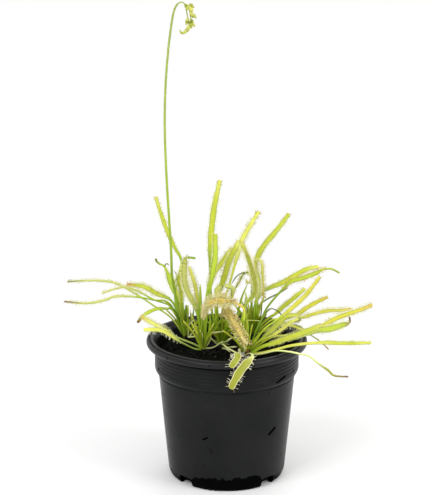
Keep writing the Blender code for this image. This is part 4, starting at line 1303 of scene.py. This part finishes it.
def drum_mesh(radius, depth):
    bm = bmesh.new()
    bmesh.ops.create_cone(bm, cap_ends=True, segments=40, radius1=radius * MM, radius2=radius * MM,
                          depth=depth * MM)
    return mesh_from(bm, "cutter")


def round_the_pot(bearing, radius, height):
    """A point in metres, from its bearing in degrees from the front and its radius and height."""
    angle = math.radians(bearing)
    return Vector((math.sin(angle) * radius, -math.cos(angle) * radius, height)) * MM


def pot_cutters():
    """(mesh, place, rotation) of each tool that cuts a slot, a drain hole or a scratch."""
    cutters = []
    for index in range(SLOT_COUNT):
        bearing = 45.0 + index * 360.0 / SLOT_COUNT
        place = round_the_pot(bearing, SLOT_RADIUS, SLOT_SIZE[2] / 2 - 1.0)
        cutters.append((block_mesh(SLOT_SIZE, 1.7), place, Euler((0.0, 0.0, math.radians(bearing - 90.0)))))
    for index in range(HOLE_COUNT):
        place = round_the_pot(index * 360.0 / HOLE_COUNT, HOLE_RING, 0.0)
        cutters.append((drum_mesh(HOLE_RADIUS, 6.0), place, Euler()))
    for bearing, height, length, width, tilt in SCRATCHES:
        place = round_the_pot(bearing, outer_radius(height), height)
        turn = Euler((0.0, math.radians(-tilt), math.radians(bearing)))
        cutters.append((block_mesh((length, 1.5, width), 0.3), place, turn))
    return cutters


def dark_foot_height(x, y):
    """How far up the foot the darker plastic reaches at this side of the pot, in millimetres: most at the
    front.
    """
    spot = Vector((x, y, 0.0)) * 0.1
    front = float(smooth_step((-y / math.hypot(x, y) - 0.78) / 0.12))
    return 4.0 + 4.4 * front + 2.4 * noise.noise(spot) + 1.6 * noise.noise(spot * 4.0)


def pot_look(x, y, z):
    """Which look a point of the pot has: polished on the lip, darker at the foot, and painted shade in a
    scratch.
    """
    radius = math.hypot(x, y)
    if z > LIP_FOOT:
        return POLISHED
    if radius > DARK_FOOT_RADIUS and z < dark_foot_height(x, y):
        return DARK_FOOT_AND_SHADE
    # The floor of a scratch takes the darker look as painted shade.
    shallow, deep = SCRATCH_SHADE_DEPTHS
    in_shaded_scratch = any(low < z < high for low, high in SCRATCH_SHADE_ZONES)
    return DARK_FOOT_AND_SHADE if in_shaded_scratch and shallow < outer_radius(z) - radius < deep else DRY


def make_pot(looks):
    """The turned shell, with its slots, drain holes and scratches cut out of it."""
    blank = add_object("pot_blank", turned_mesh("pot_shell", rounded(pot_profile(), 0.25), POT_STEPS))
    tools = []
    for mesh, place, rotation in pot_cutters():
        tool = add_object("cutter", mesh)
        tool.location = place
        tool.rotation_euler = rotation
        cut = blank.modifiers.new("cut", "BOOLEAN")
        cut.object = tool
        tools.append(tool)
    bpy.context.view_layer.update()
    graph = bpy.context.evaluated_depsgraph_get()
    cut_mesh = bpy.data.meshes.new_from_object(blank.evaluated_get(graph))
    for spent in (*tools, blank):
        bpy.data.objects.remove(spent)
    cut_mesh.shade_smooth()
    cut_mesh.set_sharp_from_angle(angle=math.radians(38.0))
    for face in cut_mesh.polygons:
        face.material_index = pot_look(*(face.center / MM))
    finish_piece("pot_shell", cut_mesh, looks, ["pot"])


def make_drops(material):
    """Drops of water that cling to the pot's outside: flattened, and a little longer than wide."""
    shape = Shape()
    points, faces = sphere(3)
    for bearing, height, size in DROPS:
        angle = math.radians(bearing)
        out = np.array([math.sin(angle), -math.cos(angle), 0.0])
        side = np.array([math.cos(angle), math.sin(angle), 0.0])
        axes = np.array([side * size, out * 0.4 * size, (0.0, 0.0, 1.25 * size)])
        place = np.array(round_the_pot(bearing, outer_radius(height) - 0.1 * size, height)) / MM
        shape.add(points @ axes + place, faces[:, ::-1], np.full((len(faces), 3, 2), 0.5))
    finish_piece("water_drops", shape.mesh("water_drops"), [material])


# ---------------------------------------------------------------- camera, floor and light

def facing(place, aim):
    """The rotation that points a camera or lamp from its place at the aim."""
    return (Vector(aim) - Vector(place)).to_track_quat("-Z", "Y").to_euler()


def make_camera():
    camera = add_object("camera", bpy.data.cameras.new("camera"))
    camera.location = CAMERA_PLACE
    camera.rotation_euler = facing(CAMERA_PLACE, CAMERA_AIM)
    camera.data.lens = CAMERA_LENS
    camera.data.sensor_width = CAMERA_SENSOR
    camera.data.clip_start = 0.05
    bpy.context.scene.camera = camera


def make_floor():
    """A white sheet that takes the shadow near the pot and melts into the white beyond."""
    bm = bmesh.new()
    bmesh.ops.create_circle(bm, cap_ends=True, segments=96, radius=FLOOR_RADIUS)
    floor = add_object("floor", mesh_from(bm, "floor"))
    nodes = Nodes("white_paper")
    far = nodes.add("ShaderNodeVectorMath", operation="LENGTH")
    nodes.feed(far.inputs[0], nodes.place)
    seen = nodes.add("ShaderNodeLightPath").outputs["Is Camera Ray"]
    fade = nodes.math("MULTIPLY", nodes.span(far.outputs["Value"], *FLOOR_FADE), seen)
    nodes.surface((0.93, 0.93, 0.93), 0.9, 0.1)
    glow = nodes.add("ShaderNodeEmission")
    nodes.feed(glow.inputs["Strength"], 1.0)
    blend = nodes.add("ShaderNodeMixShader")
    nodes.feed(blend.inputs["Fac"], fade)
    nodes.feed(blend.inputs[1], nodes.shader.outputs["BSDF"])
    nodes.feed(blend.inputs[2], glow.outputs["Emission"])
    nodes.feed(nodes.tree.nodes["Material Output"].inputs["Surface"], blend.outputs["Shader"])
    floor.data.materials.append(nodes.material)


def make_world():
    """White wherever it is seen or mirrored, and a softer light on everything matt."""
    world = bpy.data.worlds.new("studio")
    world.use_nodes = True
    bpy.context.scene.world = world
    tree = world.node_tree
    back = tree.nodes["Background"]
    path = tree.nodes.new("ShaderNodeLightPath")
    total = path.outputs["Is Camera Ray"]
    for name in ("Is Glossy Ray", "Is Transmission Ray"):
        add = tree.nodes.new("ShaderNodeMath")
        add.operation = "ADD"
        add.use_clamp = True
        tree.links.new(total, add.inputs[0])
        tree.links.new(path.outputs[name], add.inputs[1])
        total = add.outputs[0]
    strength = tree.nodes.new("ShaderNodeMapRange")
    tree.links.new(total, strength.inputs["Value"])
    strength.inputs["To Min"].default_value = SOFT_LIGHT
    strength.inputs["To Max"].default_value = 1.0
    tree.links.new(strength.outputs["Result"], back.inputs["Strength"])
    back.inputs["Color"].default_value = rgba(WHITE)


def make_lamps():
    for name, (place, size, power) in LAMPS.items():
        lamp = bpy.data.lights.new(name, "AREA")
        lamp.shape = "RECTANGLE"
        lamp.size, lamp.size_y = size
        lamp.energy = power
        item = add_object(name, lamp)
        item.location = place
        item.rotation_euler = facing(place, LAMP_AIM)


def main():
    make_camera()
    make_floor()
    make_world()
    make_lamps()
    # The second material is the darker foot and the painted shade in the scratches.
    make_pot([pot_material("black_polypropylene", 0.07), dark_foot_and_shade_material(),
              pot_material("polished_lip", 0.16)])
    make_drops(water_material())
    make_peat(peat_material())
    make_fibres(fibre_material())
    brown = crown_material("brown_leaf_bases", ("umber", "brown", "olive"))
    green = crown_material("green_leaf_bases", ("dusk", "olive", "root"))
    young = leaf_material("young_petioles", ("lime", "bright", "straw"))
    for letter in CROWN_REACH:
        make_crown(letter, brown if letter in BROWN_CROWNS else green)
        make_young_petioles(letter, young)
    for name, leaf in LEAVES.items():
        make_leaf(name, leaf)
    for group in STRANDS:
        make_strands(group)
    make_scape(scape_material())
    sepals = bud_material()
    for name in BUD_ROWS:
        make_buds(name, sepals)
    bpy.context.scene.view_settings.view_transform = "Standard"


main()
